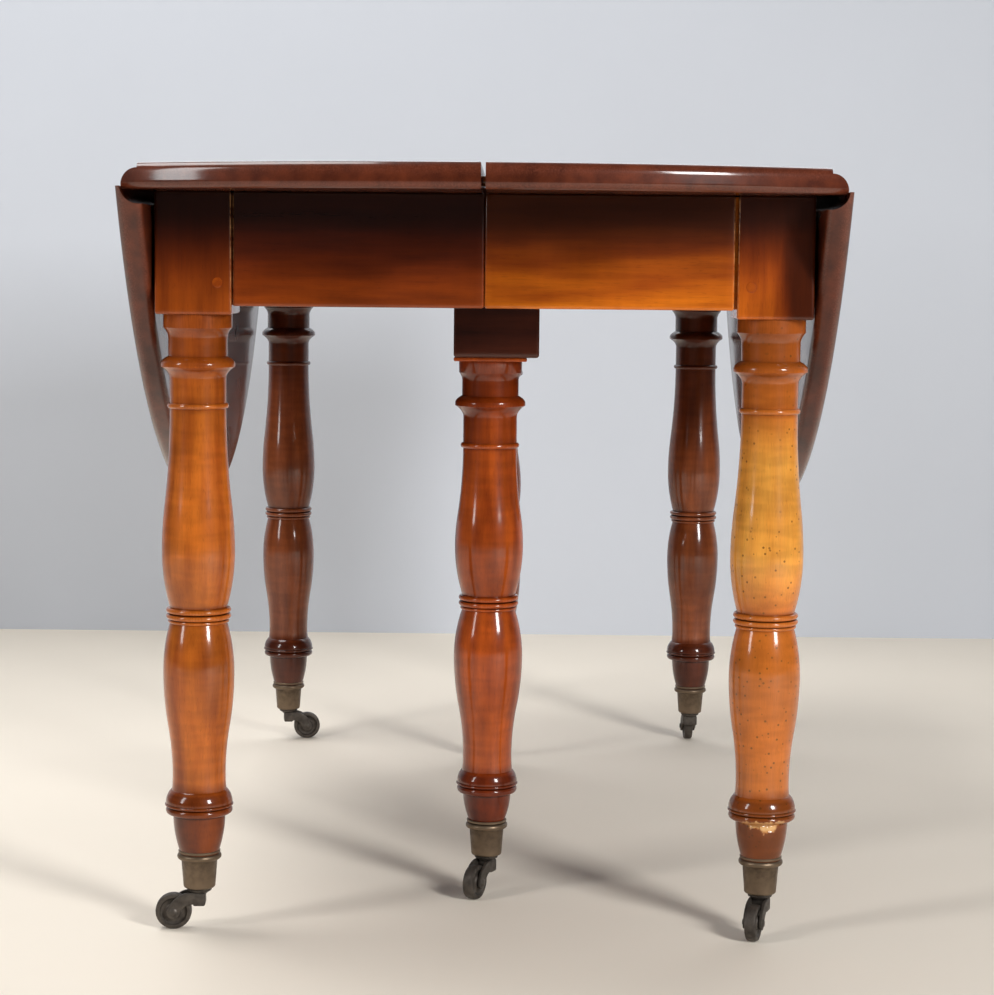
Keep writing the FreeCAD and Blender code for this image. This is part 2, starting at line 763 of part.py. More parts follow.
def drop_leaf(label, turn):
    """Leaf: a segment of the round top with the rule joint's cove, drawn level and hung about its axis."""
    leaf = new_body(label)
    lip = sizes.hinge_line + sizes.rule_gap
    round_board(leaf)
    saw(leaf, -top_radius - sizes.top_thickness, lip)
    cove = ring(leaf, "XZ_Plane", sizes.hinge_line, axis_level, ovolo_radius + sizes.rule_gap)
    pocket(leaf, cove, top_radius * 2, side="Symmetric")
    end = sizes.hinge_line + sizes.leaf_flap_length + sizes.mortise_clearance
    recess = oblong(lip, end, underside - sizes.top_thickness, axis_level)
    width = sizes.flap_width + sizes.mortise_clearance * 2
    for along in hinge_places:
        pocket(leaf, outline(leaf, "XZ_Plane", recess, along), width, side="Symmetric")
    side = 1 if turn == 0 else -1
    hung = turned(turn, down=True)
    place(leaf, (sizes.hinge_line - axis_level) * side, ZERO, axis_level + sizes.hinge_line, hung)
    node(label, [leaf])


def hinges(side_name, turn):
    """Leaf hinges on the rule joint's axis: flaps under the top, each with its pin, and under the leaf."""
    half = sizes.flap_width / 2
    middle = sizes.knuckle_middle / 2
    back = sizes.knuckle_radius + sizes.knuckle_gap
    bore = sizes.hinge_pin_radius + sizes.hinge_pin_clearance
    opening = middle + sizes.knuckle_gap
    top_plan = [
        (-sizes.top_flap_length, -half),
        (ZERO, -half),
        (ZERO, -opening),
        (-back, -opening),
        (-back, opening),
        (ZERO, opening),
        (ZERO, half),
        (-sizes.top_flap_length, half),
    ]
    leaf_plan = [
        (sizes.leaf_flap_length, half),
        (back, half),
        (back, middle),
        (ZERO, middle),
        (ZERO, -middle),
        (back, -middle),
        (back, -half),
        (sizes.leaf_flap_length, -half),
    ]
    groups = {"top": [], "leaf": []}
    side = 1 if turn == 0 else -1
    for along in hinge_places:
        for kind, plan in (("top", top_plan), ("leaf", leaf_plan)):
            flap = new_body("flap")
            pad(flap, outline(flap, "XY_Plane", plan), sizes.flap_thickness, reverse=True)
            barrel = ring(flap, "XZ_Plane", ZERO, ZERO, sizes.knuckle_radius)
            if kind == "top":
                pad(flap, barrel, sizes.flap_width, side="Symmetric")
                space = oblong(-back, back, -back, back)
                pocket(flap, outline(flap, "XZ_Plane", space), opening * 2, side="Symmetric")
                pin = ring(flap, "XZ_Plane", ZERO, ZERO, sizes.hinge_pin_radius)
                pad(flap, pin, sizes.flap_width, side="Symmetric")
            else:
                pad(flap, barrel, sizes.knuckle_middle, side="Symmetric")
                hole = ring(flap, "XZ_Plane", ZERO, ZERO, bore)
                pocket(flap, hole, sizes.flap_width * 2, side="Symmetric")
            place(flap, sizes.hinge_line * side, along, axis_level, turned(turn, down=kind == "leaf"))
            groups[kind].append(flap)
    node(f"hinge_top_flaps_{side_name}", groups["top"])
    node(f"hinge_leaf_flaps_{side_name}", groups["leaf"])


def end_apron(label, end, turn):
    """Half of the apron across one end of the table, tenoned into the block of a corner leg."""
    rail = new_body(label)
    shoulder = leg_across - block_half
    face = end * (leg_along + apron_middle)
    half = sizes.apron_thickness / 2
    board = oblong(sizes.apron_seam / 2, shoulder, apron_bottom, underside)
    pad(rail, outline(rail, "XZ_Plane", board, -face), half * 2, side="Symmetric")
    low = apron_bottom + sizes.tenon_shoulder
    tongue = oblong(shoulder, shoulder + sizes.tenon_length, low, underside - sizes.tenon_shoulder)
    pad(rail, outline(rail, "XZ_Plane", tongue, -face), sizes.tenon_thickness, side="Symmetric")
    hole = ring(rail, "XZ_Plane", shoulder + sizes.peg_inset, peg_level, sizes.peg_radius, -face)
    pocket(rail, hole, sizes.apron_thickness, side="Symmetric")
    place(rail, turn=turned(turn))
    node(label, [rail])


def side_apron(label, turn):
    """Apron beside a leaf, between two leg blocks, notched for the lopers."""
    rail = new_body(label)
    shoulder = leg_along - block_half
    middle = leg_across + apron_middle
    board = oblong(-shoulder, shoulder, apron_bottom, underside)
    pad(rail, outline(rail, "YZ_Plane", board, middle), sizes.apron_thickness, side="Symmetric")
    reach = shoulder + sizes.tenon_length
    tongue = oblong(-reach, reach, apron_bottom + sizes.tenon_shoulder, underside - sizes.tenon_shoulder)
    pad(rail, outline(rail, "YZ_Plane", tongue, middle), sizes.tenon_thickness, side="Symmetric")
    for along in (-shoulder - sizes.peg_inset, shoulder + sizes.peg_inset):
        hole = ring(rail, "YZ_Plane", along, peg_level, sizes.peg_radius, middle)
        pocket(rail, hole, sizes.apron_thickness, side="Symmetric")
    half = sizes.loper_width / 2 + sizes.loper_clearance
    for along in loper_places.values():
        notch = oblong(along - half, along + half, loper_bottom - sizes.loper_clearance, sizes.table_height)
        pocket(rail, outline(rail, "YZ_Plane", notch, middle), sizes.apron_thickness * 2, side="Symmetric")
    place(rail, turn=turned(turn))
    node(label, [rail])


def loper(label, along, turn):
    """Bar that pulls out through the side apron to hold the leaf up."""
    bar = new_body(label)
    half = sizes.loper_width / 2
    stick = oblong(along - half, along + half, loper_bottom, loper_bottom + sizes.loper_height)
    inner = sizes.loper_from_centre
    pad(bar, outline(bar, "YZ_Plane", stick, inner), side_apron_outer - inner)
    place(bar, turn=turned(turn))
    node(label, [bar])


def loper_guides(label, turn):
    """Channels under the top that the inner ends of the lopers run in."""
    made = []
    for along in loper_places.values():
        guide = new_body("guide")
        inside = sizes.loper_width / 2 + sizes.loper_clearance
        outside = guide_half
        floor = loper_bottom - sizes.loper_clearance
        channel = [
            (along - outside, floor - sizes.guide_cheek),
            (along + outside, floor - sizes.guide_cheek),
            (along + outside, underside),
            (along + inside, underside),
            (along + inside, floor),
            (along - inside, floor),
            (along - inside, underside),
            (along - outside, underside),
        ]
        pad(guide, outline(guide, "YZ_Plane", channel, sizes.guide_from_centre), sizes.guide_length)
        place(guide, turn=turned(turn))
        made.append(guide)
    node(label, made)


def dovetail(along, face, root_width, tip_width, depth):
    """Dovetail section that stands from a bar's face at along - face towards -Y."""
    level = bar_bottom + sizes.tongue_level
    near, far = along - face, along - face - depth
    return [
        (near, level - root_width / 2),
        (near, level + root_width / 2),
        (far, level + tip_width / 2),
        (far, level - tip_width / 2),
    ]


def slide_bar(label, along, bottom, top, x_low, x_high, tongue, grooves):
    """Extension bar along X, with a dovetail tongue towards -Y at its inner end and stopped grooves."""
    bar = new_body(label)
    half = sizes.bar_width / 2
    section = oblong(along - half, along + half, bottom, top)
    pad(bar, outline(bar, "YZ_Plane", section, x_low), x_high - x_low)
    if tongue:
        shape = dovetail(along, half, sizes.tongue_root, sizes.tongue_tip, sizes.tongue_depth)
        pad(bar, outline(bar, "YZ_Plane", shape, -bar_half_length), sizes.tongue_length)
    clear = sizes.tongue_clearance * 2
    length = bar_half_length * 2 - sizes.groove_stop
    for side in grooves:
        depth = sizes.tongue_depth - sizes.bar_gap + sizes.tongue_clearance
        slope = (sizes.tongue_tip - sizes.tongue_root) / sizes.tongue_depth
        mouth = sizes.tongue_root + slope * sizes.bar_gap + clear
        tip = sizes.tongue_tip + slope * sizes.tongue_clearance + clear
        level = bar_bottom + sizes.tongue_level
        face = along + side * half
        floor = along + side * (half - depth)
        shape = [
            (face, level - mouth / 2),
            (face, level + mouth / 2),
            (floor, level + tip / 2),
            (floor, level - tip / 2),
        ]
        start = -bar_half_length if side > 0 else bar_half_length
        pocket(bar, outline(bar, "YZ_Plane", shape, start), length, reverse=side > 0)
    return bar


def slides():
    """Two packs of five bars: a fixed and a middle bar for each half, on either side of a centre bar."""
    low, high = -bar_half_length, bar_half_length
    packs = (-centre_leg_along, centre_leg_along)
    centre = [
        slide_bar("centre_bar", along, bearer_top, bar_top, low, high, False, (1, -1)) for along in packs
    ]
    node("centre_slides", centre)
    for side_name, turn in HALVES.items():
        groups = {"mid": [], "outer": []}
        for along in packs:
            mid = slide_bar(
                "mid_bar", along + bar_pitch, bar_bottom, bar_top, low, high, True, (1,)
            )
            outer = slide_bar(
                "outer_bar", along + bar_pitch * 2, bar_bottom, underside, low, side_apron_inner, True, ()
            )
            relief_level = underside - sizes.bar_relief
            relief = oblong(low - sizes.bar_gap, sizes.top_gap, relief_level, underside + sizes.bar_gap)
            far_side = -(along + bar_pitch * 2)
            pocket(outer, outline(outer, "XZ_Plane", relief, far_side), sizes.bar_width * 2, side="Symmetric")
            for kind, bar in (("mid", mid), ("outer", outer)):
                place(bar, turn=turned(turn))
                groups[kind].append(bar)
        node(f"mid_slides_{side_name}", groups["mid"])
        node(f"outer_slides_{side_name}", groups["outer"])


def cross_bearer():
    """Beam across the middle that carries the centre bars and stands on the two centre legs."""
    beam = new_body("cross_bearer")
    half = sizes.bearer_width / 2
    bevel = sizes.bearer_chamfer
    section = [
        (-half + bevel, bearer_bottom),
        (half - bevel, bearer_bottom),
        (half, bearer_bottom + bevel),
        (half, bearer_top),
        (-half, bearer_top),
        (-half, bearer_bottom + bevel),
    ]
    length = (centre_leg_along + sizes.bearer_end) * 2
    pad(beam, outline(beam, "XZ_Plane", section), length, side="Symmetric")
    spigot_across = sizes.centre_leg_shift - sizes.bearer_shift
    for along in (-centre_leg_along, centre_leg_along):
        hole = ring(beam, "XY_Plane", spigot_across, along, sizes.leg_spigot_radius, bearer_bottom)
        pocket(beam, hole, sizes.leg_spigot_length, reverse=True)
    place(beam, sizes.bearer_shift)
    node("cross_bearer", [beam])


HALVES = {"right": 0, "left": 180}
QUARTER_TURNS = {"front_left": 0, "front_right": 1, "back_right": 2, "back_left": 3}
ENDS = {"front": -1, "back": 1}
SIDES = {"left": -1, "right": 1}


def half_frame(side_name, turn):
    """Everything that is drawn out with one half, apart from its slides."""
    side = SIDES[side_name]
    fixed_top(f"top_{side_name}", turn)
    align_dowels(f"align_dowels_{side_name}", turn)
    side_apron(f"side_apron_{side_name}", turn)
    loper_guides(f"loper_guides_{side_name}", turn)
    drop_leaf(f"drop_leaf_{side_name}", turn)
    hinges(side_name, turn)
    pegs, cups = [], []
    for end_name, end in ENDS.items():
        corner = f"{end_name}_{side_name}"
        x, y = leg_across * side, leg_along * end
        corner_leg(f"leg_{corner}", x, y, QUARTER_TURNS[corner])
        end_apron(f"end_apron_{corner}", end * side, turn)
        loper(f"loper_{corner}", loper_places[end_name] * side, turn)
        caster(corner, x, y)
        pegs += tenon_pegs(x, y, QUARTER_TURNS[corner])
        cups.append(caster_cup(x, y))
    node(f"tenon_pegs_{side_name}", pegs)
    node(f"caster_cups_{side_name}", cups)


def centre_stand():
    """Bearer and the two centre legs, which stay in place when the halves are drawn apart."""
    cross_bearer()
    cups = []
    x = sizes.centre_leg_shift
    for end_name, end in ENDS.items():
        y = centre_leg_along * end
        centre_leg(f"leg_centre_{end_name}", x, y)
        caster(f"centre_{end_name}", x, y)
        cups.append(caster_cup(x, y))
    node("caster_cups_centre", cups)


def check_document():
    for made in DOC.Objects:
        if "Invalid" in made.State or "Error" in made.State:
            raise RuntimeError(f"{made.Label} failed: {made.State}")
    for made in NODES:
        if made.Shape.isNull() or not made.Shape.isValid():
            raise RuntimeError(f"{made.Label} has no valid shape")


def write_parts():
    os.makedirs("parts", exist_ok=True)
    for made in NODES:
        made.Shape.exportStep(f"parts/{made.Label}.step")


for half_name, half_turn in HALVES.items():
    half_frame(half_name, half_turn)
centre_stand()
slides()
DOC.recompute()
check_document()
write_parts()
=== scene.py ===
"""Old drop-leaf extending table on six turned legs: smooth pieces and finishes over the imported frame."""
import json
import math

import bmesh
import bpy
import numpy as np
from bpy.props import FloatProperty, FloatVectorProperty, PointerProperty
from bpy.types import Operator, Panel, PropertyGroup
from mathutils import Matrix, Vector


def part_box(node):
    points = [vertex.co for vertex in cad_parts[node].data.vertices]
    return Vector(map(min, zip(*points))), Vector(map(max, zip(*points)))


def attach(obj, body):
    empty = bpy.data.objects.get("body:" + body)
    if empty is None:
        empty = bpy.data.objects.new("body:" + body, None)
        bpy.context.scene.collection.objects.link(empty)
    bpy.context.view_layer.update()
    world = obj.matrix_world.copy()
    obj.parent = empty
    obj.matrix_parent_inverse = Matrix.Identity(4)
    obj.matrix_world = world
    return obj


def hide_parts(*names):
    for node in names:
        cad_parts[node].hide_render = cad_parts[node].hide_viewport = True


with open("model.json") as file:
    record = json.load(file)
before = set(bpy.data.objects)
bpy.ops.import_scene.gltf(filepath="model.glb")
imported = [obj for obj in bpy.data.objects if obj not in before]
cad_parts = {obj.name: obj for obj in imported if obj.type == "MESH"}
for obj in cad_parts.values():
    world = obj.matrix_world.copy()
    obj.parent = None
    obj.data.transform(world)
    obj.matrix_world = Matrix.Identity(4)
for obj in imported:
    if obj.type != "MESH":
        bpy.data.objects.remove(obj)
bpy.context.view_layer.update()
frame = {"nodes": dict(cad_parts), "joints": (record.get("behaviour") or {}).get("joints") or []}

bl_info = {
    "name": "Drop-leaf extending table",
    "version": (1, 0, 0),
    "blender": (4, 5, 0),
    "location": "View3D > Sidebar > Table",
    "description": "Turned legs, rounded boards, casters and finishes of an old extending table",
    "category": "Object",
}

MM = 0.001
SIDES = {"left": -1, "right": 1}
ENDS = {"front": -1, "back": 1}
CORNERS = [(end, side) for end in ENDS for side in SIDES]
# Steps round each turned or carried shape.
LEG_TURNS = 144
CUP_TURNS = 64
WHEEL_TURNS = 48
NECK_TURNS = 40
PEG_TURNS = 28
AXLE_TURNS = 24
SCREW_TURNS = 20
CHEEK_TURNS = 16
# How far below the top the painted shade of the overhanging top reaches.
BLOCK_SHADE_REACH = 112 * MM
APRON_SHADE_REACH = {"left": 112 * MM, "right": 118 * MM}
BEARER_SHADE_REACH = 90 * MM
# Where the painted shade of the table on the back legs begins, and the height over which it deepens.
BACK_SHADE_FROM = 380 * MM
BACK_SHADE_RISE = 170 * MM
# Steps along a block or an apron, fine enough to carry its marks.
MARKED_STEPS = 40
PLATE_ARRIS = 1.4 * MM
# Level of the pegs, and how far each stands from the middle of its block.
PEG_LEVEL = 627 * MM
PEG_INSET = 23 * MM
# Hinges: places along the table, where the flaps start from the hinge line, and how proud and deep they lie.
HINGE_PLACES = (-370 * MM, 0, 370 * MM)
TOP_FLAP_GAP = 3.4 * MM
LEAF_FLAP_GAP = 16.9 * MM
FLAP_PROUD = 0.5 * MM
FLAP_DEPTH = 1 * MM
# Flakes of bare wood below the right front leg's low bead: degrees round, drop, half width and half height.
CHIPS = (
    (-95, 0, 26 * MM, 3.4 * MM),
    (-80, 3.5 * MM, 9 * MM, 6 * MM),
    (-112, 1.5 * MM, 6 * MM, 4 * MM),
    (-62, -1 * MM, 6 * MM, 3.5 * MM),
)
# Casters stand as they were left: the way each wheel trails, in degrees from +X.
CASTERS = {
    "front_left": (183, "left_half"),
    "front_right": (251, "right_half"),
    "back_left": (8, "left_half"),
    "back_right": (92, "right_half"),
    "centre_front": (243, "centre_frame"),
    "centre_back": (118, "centre_frame"),
}


def linear(code):
    """Scene-linear colour of an sRGB hex value."""
    value = np.array([int(code[i : i + 2], 16) for i in (1, 3, 5)]) / 255
    return tuple(np.where(value <= 0.04045, value / 12.92, ((value + 0.055) / 1.055) ** 2.4))


def length(name, millimetres, description):
    """A size that a user would change, given in millimetres."""
    return FloatProperty(
        name=name, description=description, default=millimetres * MM, min=0.0, precision=4, unit="LENGTH"
    )


def colour(name, code, description):
    """A colour that a user would change, given as an sRGB hex value."""
    return FloatVectorProperty(
        name=name, description=description, default=linear(code), size=3, min=0.0, max=1.0, subtype="COLOR"
    )


def span(node):
    """Lowest and highest corner of a node, in metres."""
    low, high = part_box(node)
    return np.array(low), np.array(high)


HINGE_AT, HINGE_LEVEL = next(
    (abs(joint["pos_m"][0]), joint["pos_m"][2])
    for joint in frame["joints"]
    if joint["name"] == "right_leaf_hinge"
)


# Shapes


def grid_quads(rows, columns, wrapped=True):
    """Quads between the rows and columns of a grid, whose last column meets its first where wrapped."""
    index = np.arange(rows * columns).reshape(rows, columns)
    if wrapped:
        index = np.concatenate([index, index[:, :1]], axis=1)
    return np.stack([index[:-1, :-1], index[:-1, 1:], index[1:, 1:], index[1:, :-1]], axis=-1).reshape(-1, 4)


def lathe(radius, level, turns):
    """A profile turned about Z: x = r cos a, y = r sin a, z = level, for each angle a round the turn."""
    angle = np.linspace(0, 2 * np.pi, turns, endpoint=False)
    x = np.outer(radius, np.cos(angle))
    y = np.outer(radius, np.sin(angle))
    z = np.repeat(level[:, None], turns, axis=1)
    return np.stack([x, y, z], axis=-1).reshape(-1, 3), grid_quads(len(level), turns)


def edge_steps(low, high, round_off, steps):
    """Places along one side of a box: close together over the rounded edges, evenly between them."""
    share = (1 - np.cos(np.linspace(0, np.pi / 2, 5))) * round_off
    middle = np.linspace(low + round_off, high - round_off, steps)[1:-1]
    return np.concatenate([low + share, middle, high - share[::-1]])


def soft_box(low, high, round_off, steps=12):
    """A box whose edges are rounded: each point of the box is drawn back to the smaller box inside by the
    radius, along the line from its nearest point there."""
    low, high = np.array(low, float), np.array(high, float)
    points, quads, start = [], [], 0
    for axis in range(3):
        first, second = (axis + 1) % 3, (axis + 2) % 3
        u = edge_steps(low[first], high[first], round_off, steps)
        v = edge_steps(low[second], high[second], round_off, steps)
        for face, level in ((0, low[axis]), (1, high[axis])):
            grid = np.empty((len(v), len(u), 3))
            grid[..., axis] = level
            grid[..., first] = u[None, :]
            grid[..., second] = v[:, None]
            made = grid_quads(len(v), len(u), wrapped=False)
            points.append(grid.reshape(-1, 3))
            quads.append((made if face else made[:, ::-1]) + start)
            start += len(u) * len(v)
    points = np.concatenate(points)
    core = np.clip(points, low + round_off, high - round_off)
    away = points - core
    reach = np.linalg.norm(away, axis=1, keepdims=True)
    points = core + away / np.maximum(reach, 1e-9) * np.minimum(reach, round_off)
    return points, np.concatenate(quads)


def round_over(depth, radius):
    """How far a rounded edge lies back at a depth below the face: r - sqrt(r^2 - (r - depth)^2)."""
    short = np.clip(radius - depth, 0, radius)
    return radius - np.sqrt(radius**2 - short**2)


def stack(loops, levels, rings=7):
    """A board as closed loops, one above the other, with both faces filled by the end loops drawn in towards
    their middle in even rings."""
    share = np.linspace(0, 1, rings)[:, None, None]

    def fill(loop):
        middle = loop.mean(axis=0)
        return middle + (loop - middle) * share[:-1]

    plan = np.concatenate([fill(loops[0]), loops, fill(loops[-1])[::-1]])
    height = np.concatenate([np.full(rings - 1, levels[0]), levels, np.full(rings - 1, levels[-1])])
    level = np.repeat(height[:, None, None], plan.shape[1], axis=1)
    return np.concatenate([plan, level], axis=-1).reshape(-1, 3), grid_quads(*plan.shape[:2])


def rim_radius(levels, low, high, sizes):
    """Radius of the round top at each level: the full radius less the worn rounding of both edges."""
    full = abs(span("top_left")[0][1])
    return full - round_over(levels - low, sizes.rim_low) - round_over(high - levels, sizes.rim_high)


def board_levels(low, high, sizes, moulding):
    """Levels of a board's loops: close together over both rounded edges and round the rule joint."""
    arc = 1 - np.cos(np.linspace(0, np.pi / 2, 7))
    joint = HINGE_LEVEL + moulding * np.sin(np.linspace(-np.pi / 2, np.pi / 2, 33))
    marks = np.concatenate([low + sizes.rim_low * arc, high - sizes.rim_high * arc, joint[joint > low]])
    return np.unique(np.round(marks, 6))


def quarter_round(levels, moulding):
    """How far a rule joint's round stands out from the hinge line: sqrt(R^2 - (z - axis)^2)."""
    return np.sqrt(np.clip(moulding**2 - (levels - HINGE_LEVEL) ** 2, 0, None))


def arc_run(radius, start, end, steps):
    """Part of a circle at each level, from one angle to another, anticlockwise from above."""
    angle = start[:, None] + (end - start)[:, None] * np.linspace(0, 1, steps)
    return np.stack([radius[:, None] * np.cos(angle), radius[:, None] * np.sin(angle)], axis=-1)


def line_run(start, end, steps):
    """Straight run at each level between two points, both ends left out."""
    share = np.linspace(0, 1, steps + 2)[None, 1:-1, None]
    return start[:, None, :] + (end - start)[:, None, :] * share


def rim_wear_and_highlight(points, low, high):
    """Marks of a round rim: wear strong along its lower edge, and a painted highlight along its upper part,
    each falling off as a bell curve of the height, and only where a point lies close to the full radius."""
    radius = np.hypot(points[:, 0], points[:, 1])
    at_rim = np.clip((radius - radius.max() + 14 * MM) / (6 * MM), 0, 1)
    lower = np.exp(-(((points[:, 2] - low - 2.5 * MM) / (2.6 * MM)) ** 2))
    # Painted highlight: a pale band a little below the upper edge.
    upper = np.exp(-(((high - 6 * MM - points[:, 2]) / (5 * MM)) ** 2))
    return {"wear": at_rim * np.clip(0.05 + 0.75 * lower + 0.7 * upper, 0, 1)}


def half_top(sizes):
    """Right half of the fixed top: front rim, rule joint, back rim and seam, one loop for each level."""
    low, high = span("top_right")
    levels = board_levels(low[2], high[2], sizes, sizes.moulding)
    radius = rim_radius(levels, low[2], high[2], sizes)
    ease = sizes.seam_ease
    seam = low[0] + round_over(levels - low[2], ease) + round_over(high[2] - levels, ease)
    joint = HINGE_AT + quarter_round(levels, sizes.moulding)
    front = arc_run(radius, -np.arccos(seam / radius), -np.arccos(joint / radius), 48)
    back = arc_run(radius, np.arccos(joint / radius), np.arccos(seam / radius), 48)
    side = line_run(front[:, -1], back[:, 0], 40)
    middle = line_run(back[:, -1], front[:, 0], 40)
    points, quads = stack(np.concatenate([front, side, back, middle], axis=1), levels)
    return points, quads, rim_wear_and_highlight(points, low[2], high[2])


def hung_leaf(sizes):
    """Right leaf: one loop of rim and cove for each level, swung down a quarter turn about its hinge line."""
    low, high = span("top_right")
    cove_radius = sizes.moulding + sizes.joint_gap
    levels = board_levels(low[2], high[2], sizes, cove_radius)
    radius = rim_radius(levels, low[2], high[2], sizes)
    cove = HINGE_AT + np.maximum(quarter_round(levels, cove_radius), sizes.joint_gap)
    rim = arc_run(radius, -np.arccos(cove / radius), np.arccos(cove / radius), 96)
    edge = line_run(rim[:, -1], rim[:, 0], 40)
    points, quads = stack(np.concatenate([rim, edge], axis=1), levels)
    return hang(points), quads, rim_wear_and_highlight(points, low[2], high[2])


def hang(points):
    """Points of the level right leaf swung down about its hinge: out becomes down, and up becomes out."""
    out, up = points[:, 0] - HINGE_AT, points[:, 2] - HINGE_LEVEL
    return np.stack([HINGE_AT + up, points[:, 1], HINGE_LEVEL - out], axis=1)


def half_turn(points, side):
    """The same piece on the left: turned 180 degrees about the middle."""
    return points * (side, side, 1)


def standing(points, x, y, degrees=0.0):
    """Points turned about their own upright axis and set down at a place on the plan."""
    angle = math.radians(degrees)
    turn = np.array([[math.cos(angle), -math.sin(angle)], [math.sin(angle), math.cos(angle)]])
    return np.concatenate([points[:, :2] @ turn.T + (x, y), points[:, 2:]], axis=1)


def along_axle(points, x, z):
    """A turned shape laid on its side: its upright axis goes along Y, at a place x, z."""
    return np.stack([points[:, 0] + x, -points[:, 2], points[:, 1] + z], axis=1)


def handled(points, low, high, reach, joint=None):
    """Marks of a piece of the frame. A painted shade of the overhanging top clears along an S-curve, 3 t^2 -
    2 t^3, with the depth t below the underside of the top, and is gone at its reach. Wear is full along an
    arris, where a point lies close to two sides of its box at once. Along an open joint at x the polish has
    broken off the arris: bare wood falls off as a bell curve of the distance, in ragged runs."""
    underside = span("top_left")[0][2]
    # Painted shade of the overhanging top: darkest just under it, gone at the reach.
    depth = np.clip(((underside - points[:, 2]) / reach - 0.18) / 0.82, 0, 1)
    grime = 0.955 * (1 - depth * depth * (3 - 2 * depth))
    near = np.sort(np.minimum(np.abs(points - low), np.abs(high - points)), axis=1)[:, 1]
    marks = {"grime": grime, "wear": np.clip(1 - near / (3 * MM), 0, 1) * 0.8}
    if joint is not None:
        ragged = 0.5 + 0.35 * np.sin(260 * points[:, 2] + 1) + 0.3 * np.sin(910 * points[:, 2])
        edge = np.exp(-(((points[:, 0] - joint) / (1.3 * MM)) ** 2)) * np.clip(1 - near / (1.6 * MM), 0, 1)
        marks["bare"] = np.clip(edge * ragged, 0, 0.8)
        marks["grime"] = grime * (1 - marks["bare"])
    return marks


# The turned profile


def sweep(upright, end, steps=14):
    """Curve from where a profile stands upright to an end: r = r0 + (r1 - r0) s^2 over share s of height."""
    share = np.linspace(0, 1, steps)
    radius = upright[0] + (end[0] - upright[0]) * share**2
    return np.stack([radius, upright[1] + (end[1] - upright[1]) * share], 1)


def ogee(low, high, turn, steps=36):
    """S-curve, upright at both ends: s^2 / t below the turning share t, 1 - (1 - s)^2 / (1 - t) above it."""
    share = np.linspace(0, 1, steps)
    bend = np.where(share < turn, share**2 / turn, 1 - (1 - share) ** 2 / (1 - turn))
    return np.stack([low[0] + (high[0] - low[0]) * bend, low[1] + (high[1] - low[1]) * share], 1)


def bead(base, level, height, swell, steps=15):
    """Half round: r = base + swell sqrt(1 - s^2), with s from -1 to 1 up its height."""
    angle = np.linspace(-np.pi / 2, np.pi / 2, steps)
    return np.stack([base + swell * np.cos(angle), level + height * (1 + np.sin(angle)) / 2], 1)


def ovolo(low, high, steps=14):
    """Round shoulder that leans in going up: r = r1 + (r0 - r1) (1 - s^2)^0.8 over share s of its height."""
    share = np.sin(np.linspace(0, np.pi / 2, steps))
    bend = np.clip(1 - share**2, 0, 1) ** 0.8
    return np.stack([high[0] + (low[0] - high[0]) * bend, low[1] + (high[1] - low[1]) * share], 1)


def turning(leg, cup_top, top):
    """Profile of a turned leg from its cup to the square above it: foot, bead, fillet and shoulder, low vase,
    fillet and two beads, high vase, ring, waist, collar, throat and disc, joined end to end."""
    low_beads = cup_top + leg.foot_height
    fillet = low_beads + leg.low_bead
    shelf = fillet + leg.fillet
    shoulder = (leg.low_neck + 0.7 * MM, shelf + leg.shoulder)
    crest = leg.low_bead_base + leg.low_bead_swell
    fine = (2 * leg.mid_bead - leg.fillet) / 2
    low_vase = low_beads + 2 * leg.low_bead
    ring = top - leg.ring_drop
    low_length = (ring - low_vase - 2 * leg.mid_bead) * leg.low_share
    mid_beads = low_vase + low_length
    high_vase = mid_beads + 2 * leg.mid_bead
    low_neck = (leg.low_neck, low_vase + low_length * leg.low_neck_share)
    low_belly = (leg.low_belly, low_vase + low_length * leg.low_belly_share)
    high_belly = (leg.high_belly, high_vase + (ring - high_vase) * leg.high_belly_share)
    high_neck = (leg.high_neck, ring)
    waist = (leg.high_neck, top - leg.waist_drop)
    collar = (leg.collar, top - leg.collar_drop)
    band = (leg.collar, collar[1] + leg.collar_band)
    throat = (leg.throat, top - leg.throat_drop)
    disc = (leg.disc, top - leg.disc_drop)
    runs = [
        [(0, cup_top - 3 * MM), (leg.foot, cup_top - 3 * MM)],
        sweep((leg.foot_top, low_beads), (leg.foot, cup_top), 44)[::-1],
        bead(leg.low_bead_base, low_beads, leg.low_bead, leg.low_bead_swell, 21),
        bead(leg.low_bead_base + 0.8 * MM, fillet, leg.fillet, leg.low_bead_swell),
        ovolo((crest, shelf), shoulder),
        sweep(low_neck, shoulder)[::-1],
        ogee(low_neck, low_belly, leg.low_turn),
        sweep(low_belly, (leg.mid_bead_base, mid_beads)),
        bead(leg.mid_bead_base, mid_beads, leg.fillet, 0.5 * leg.mid_bead_swell),
        bead(leg.mid_bead_base, mid_beads + leg.fillet, fine, leg.mid_bead_swell),
        bead(leg.mid_bead_base, mid_beads + leg.fillet + fine, fine, leg.mid_bead_swell),
        sweep(high_belly, (leg.mid_bead_base, high_vase))[::-1],
        ogee(high_belly, high_neck, leg.high_turn),
        bead(leg.high_neck, ring, leg.ring, leg.ring_swell),
        sweep(waist, (leg.high_neck, ring + leg.ring), 4)[::-1],
        sweep(waist, collar),
        sweep(band, (leg.throat, band[1] + leg.collar_dome)),
        sweep(throat, (leg.throat, band[1] + leg.collar_dome), 4)[::-1],
        sweep(throat, disc),
        [(leg.disc, top), (leg.disc, top + 1 * MM), (0, top + 1 * MM)],
    ]
    profile = np.concatenate([np.array(run, float) for run in runs])
    fresh = np.linalg.norm(np.diff(profile, axis=0), axis=1) > 1e-7
    return profile[np.concatenate([[True], fresh])]


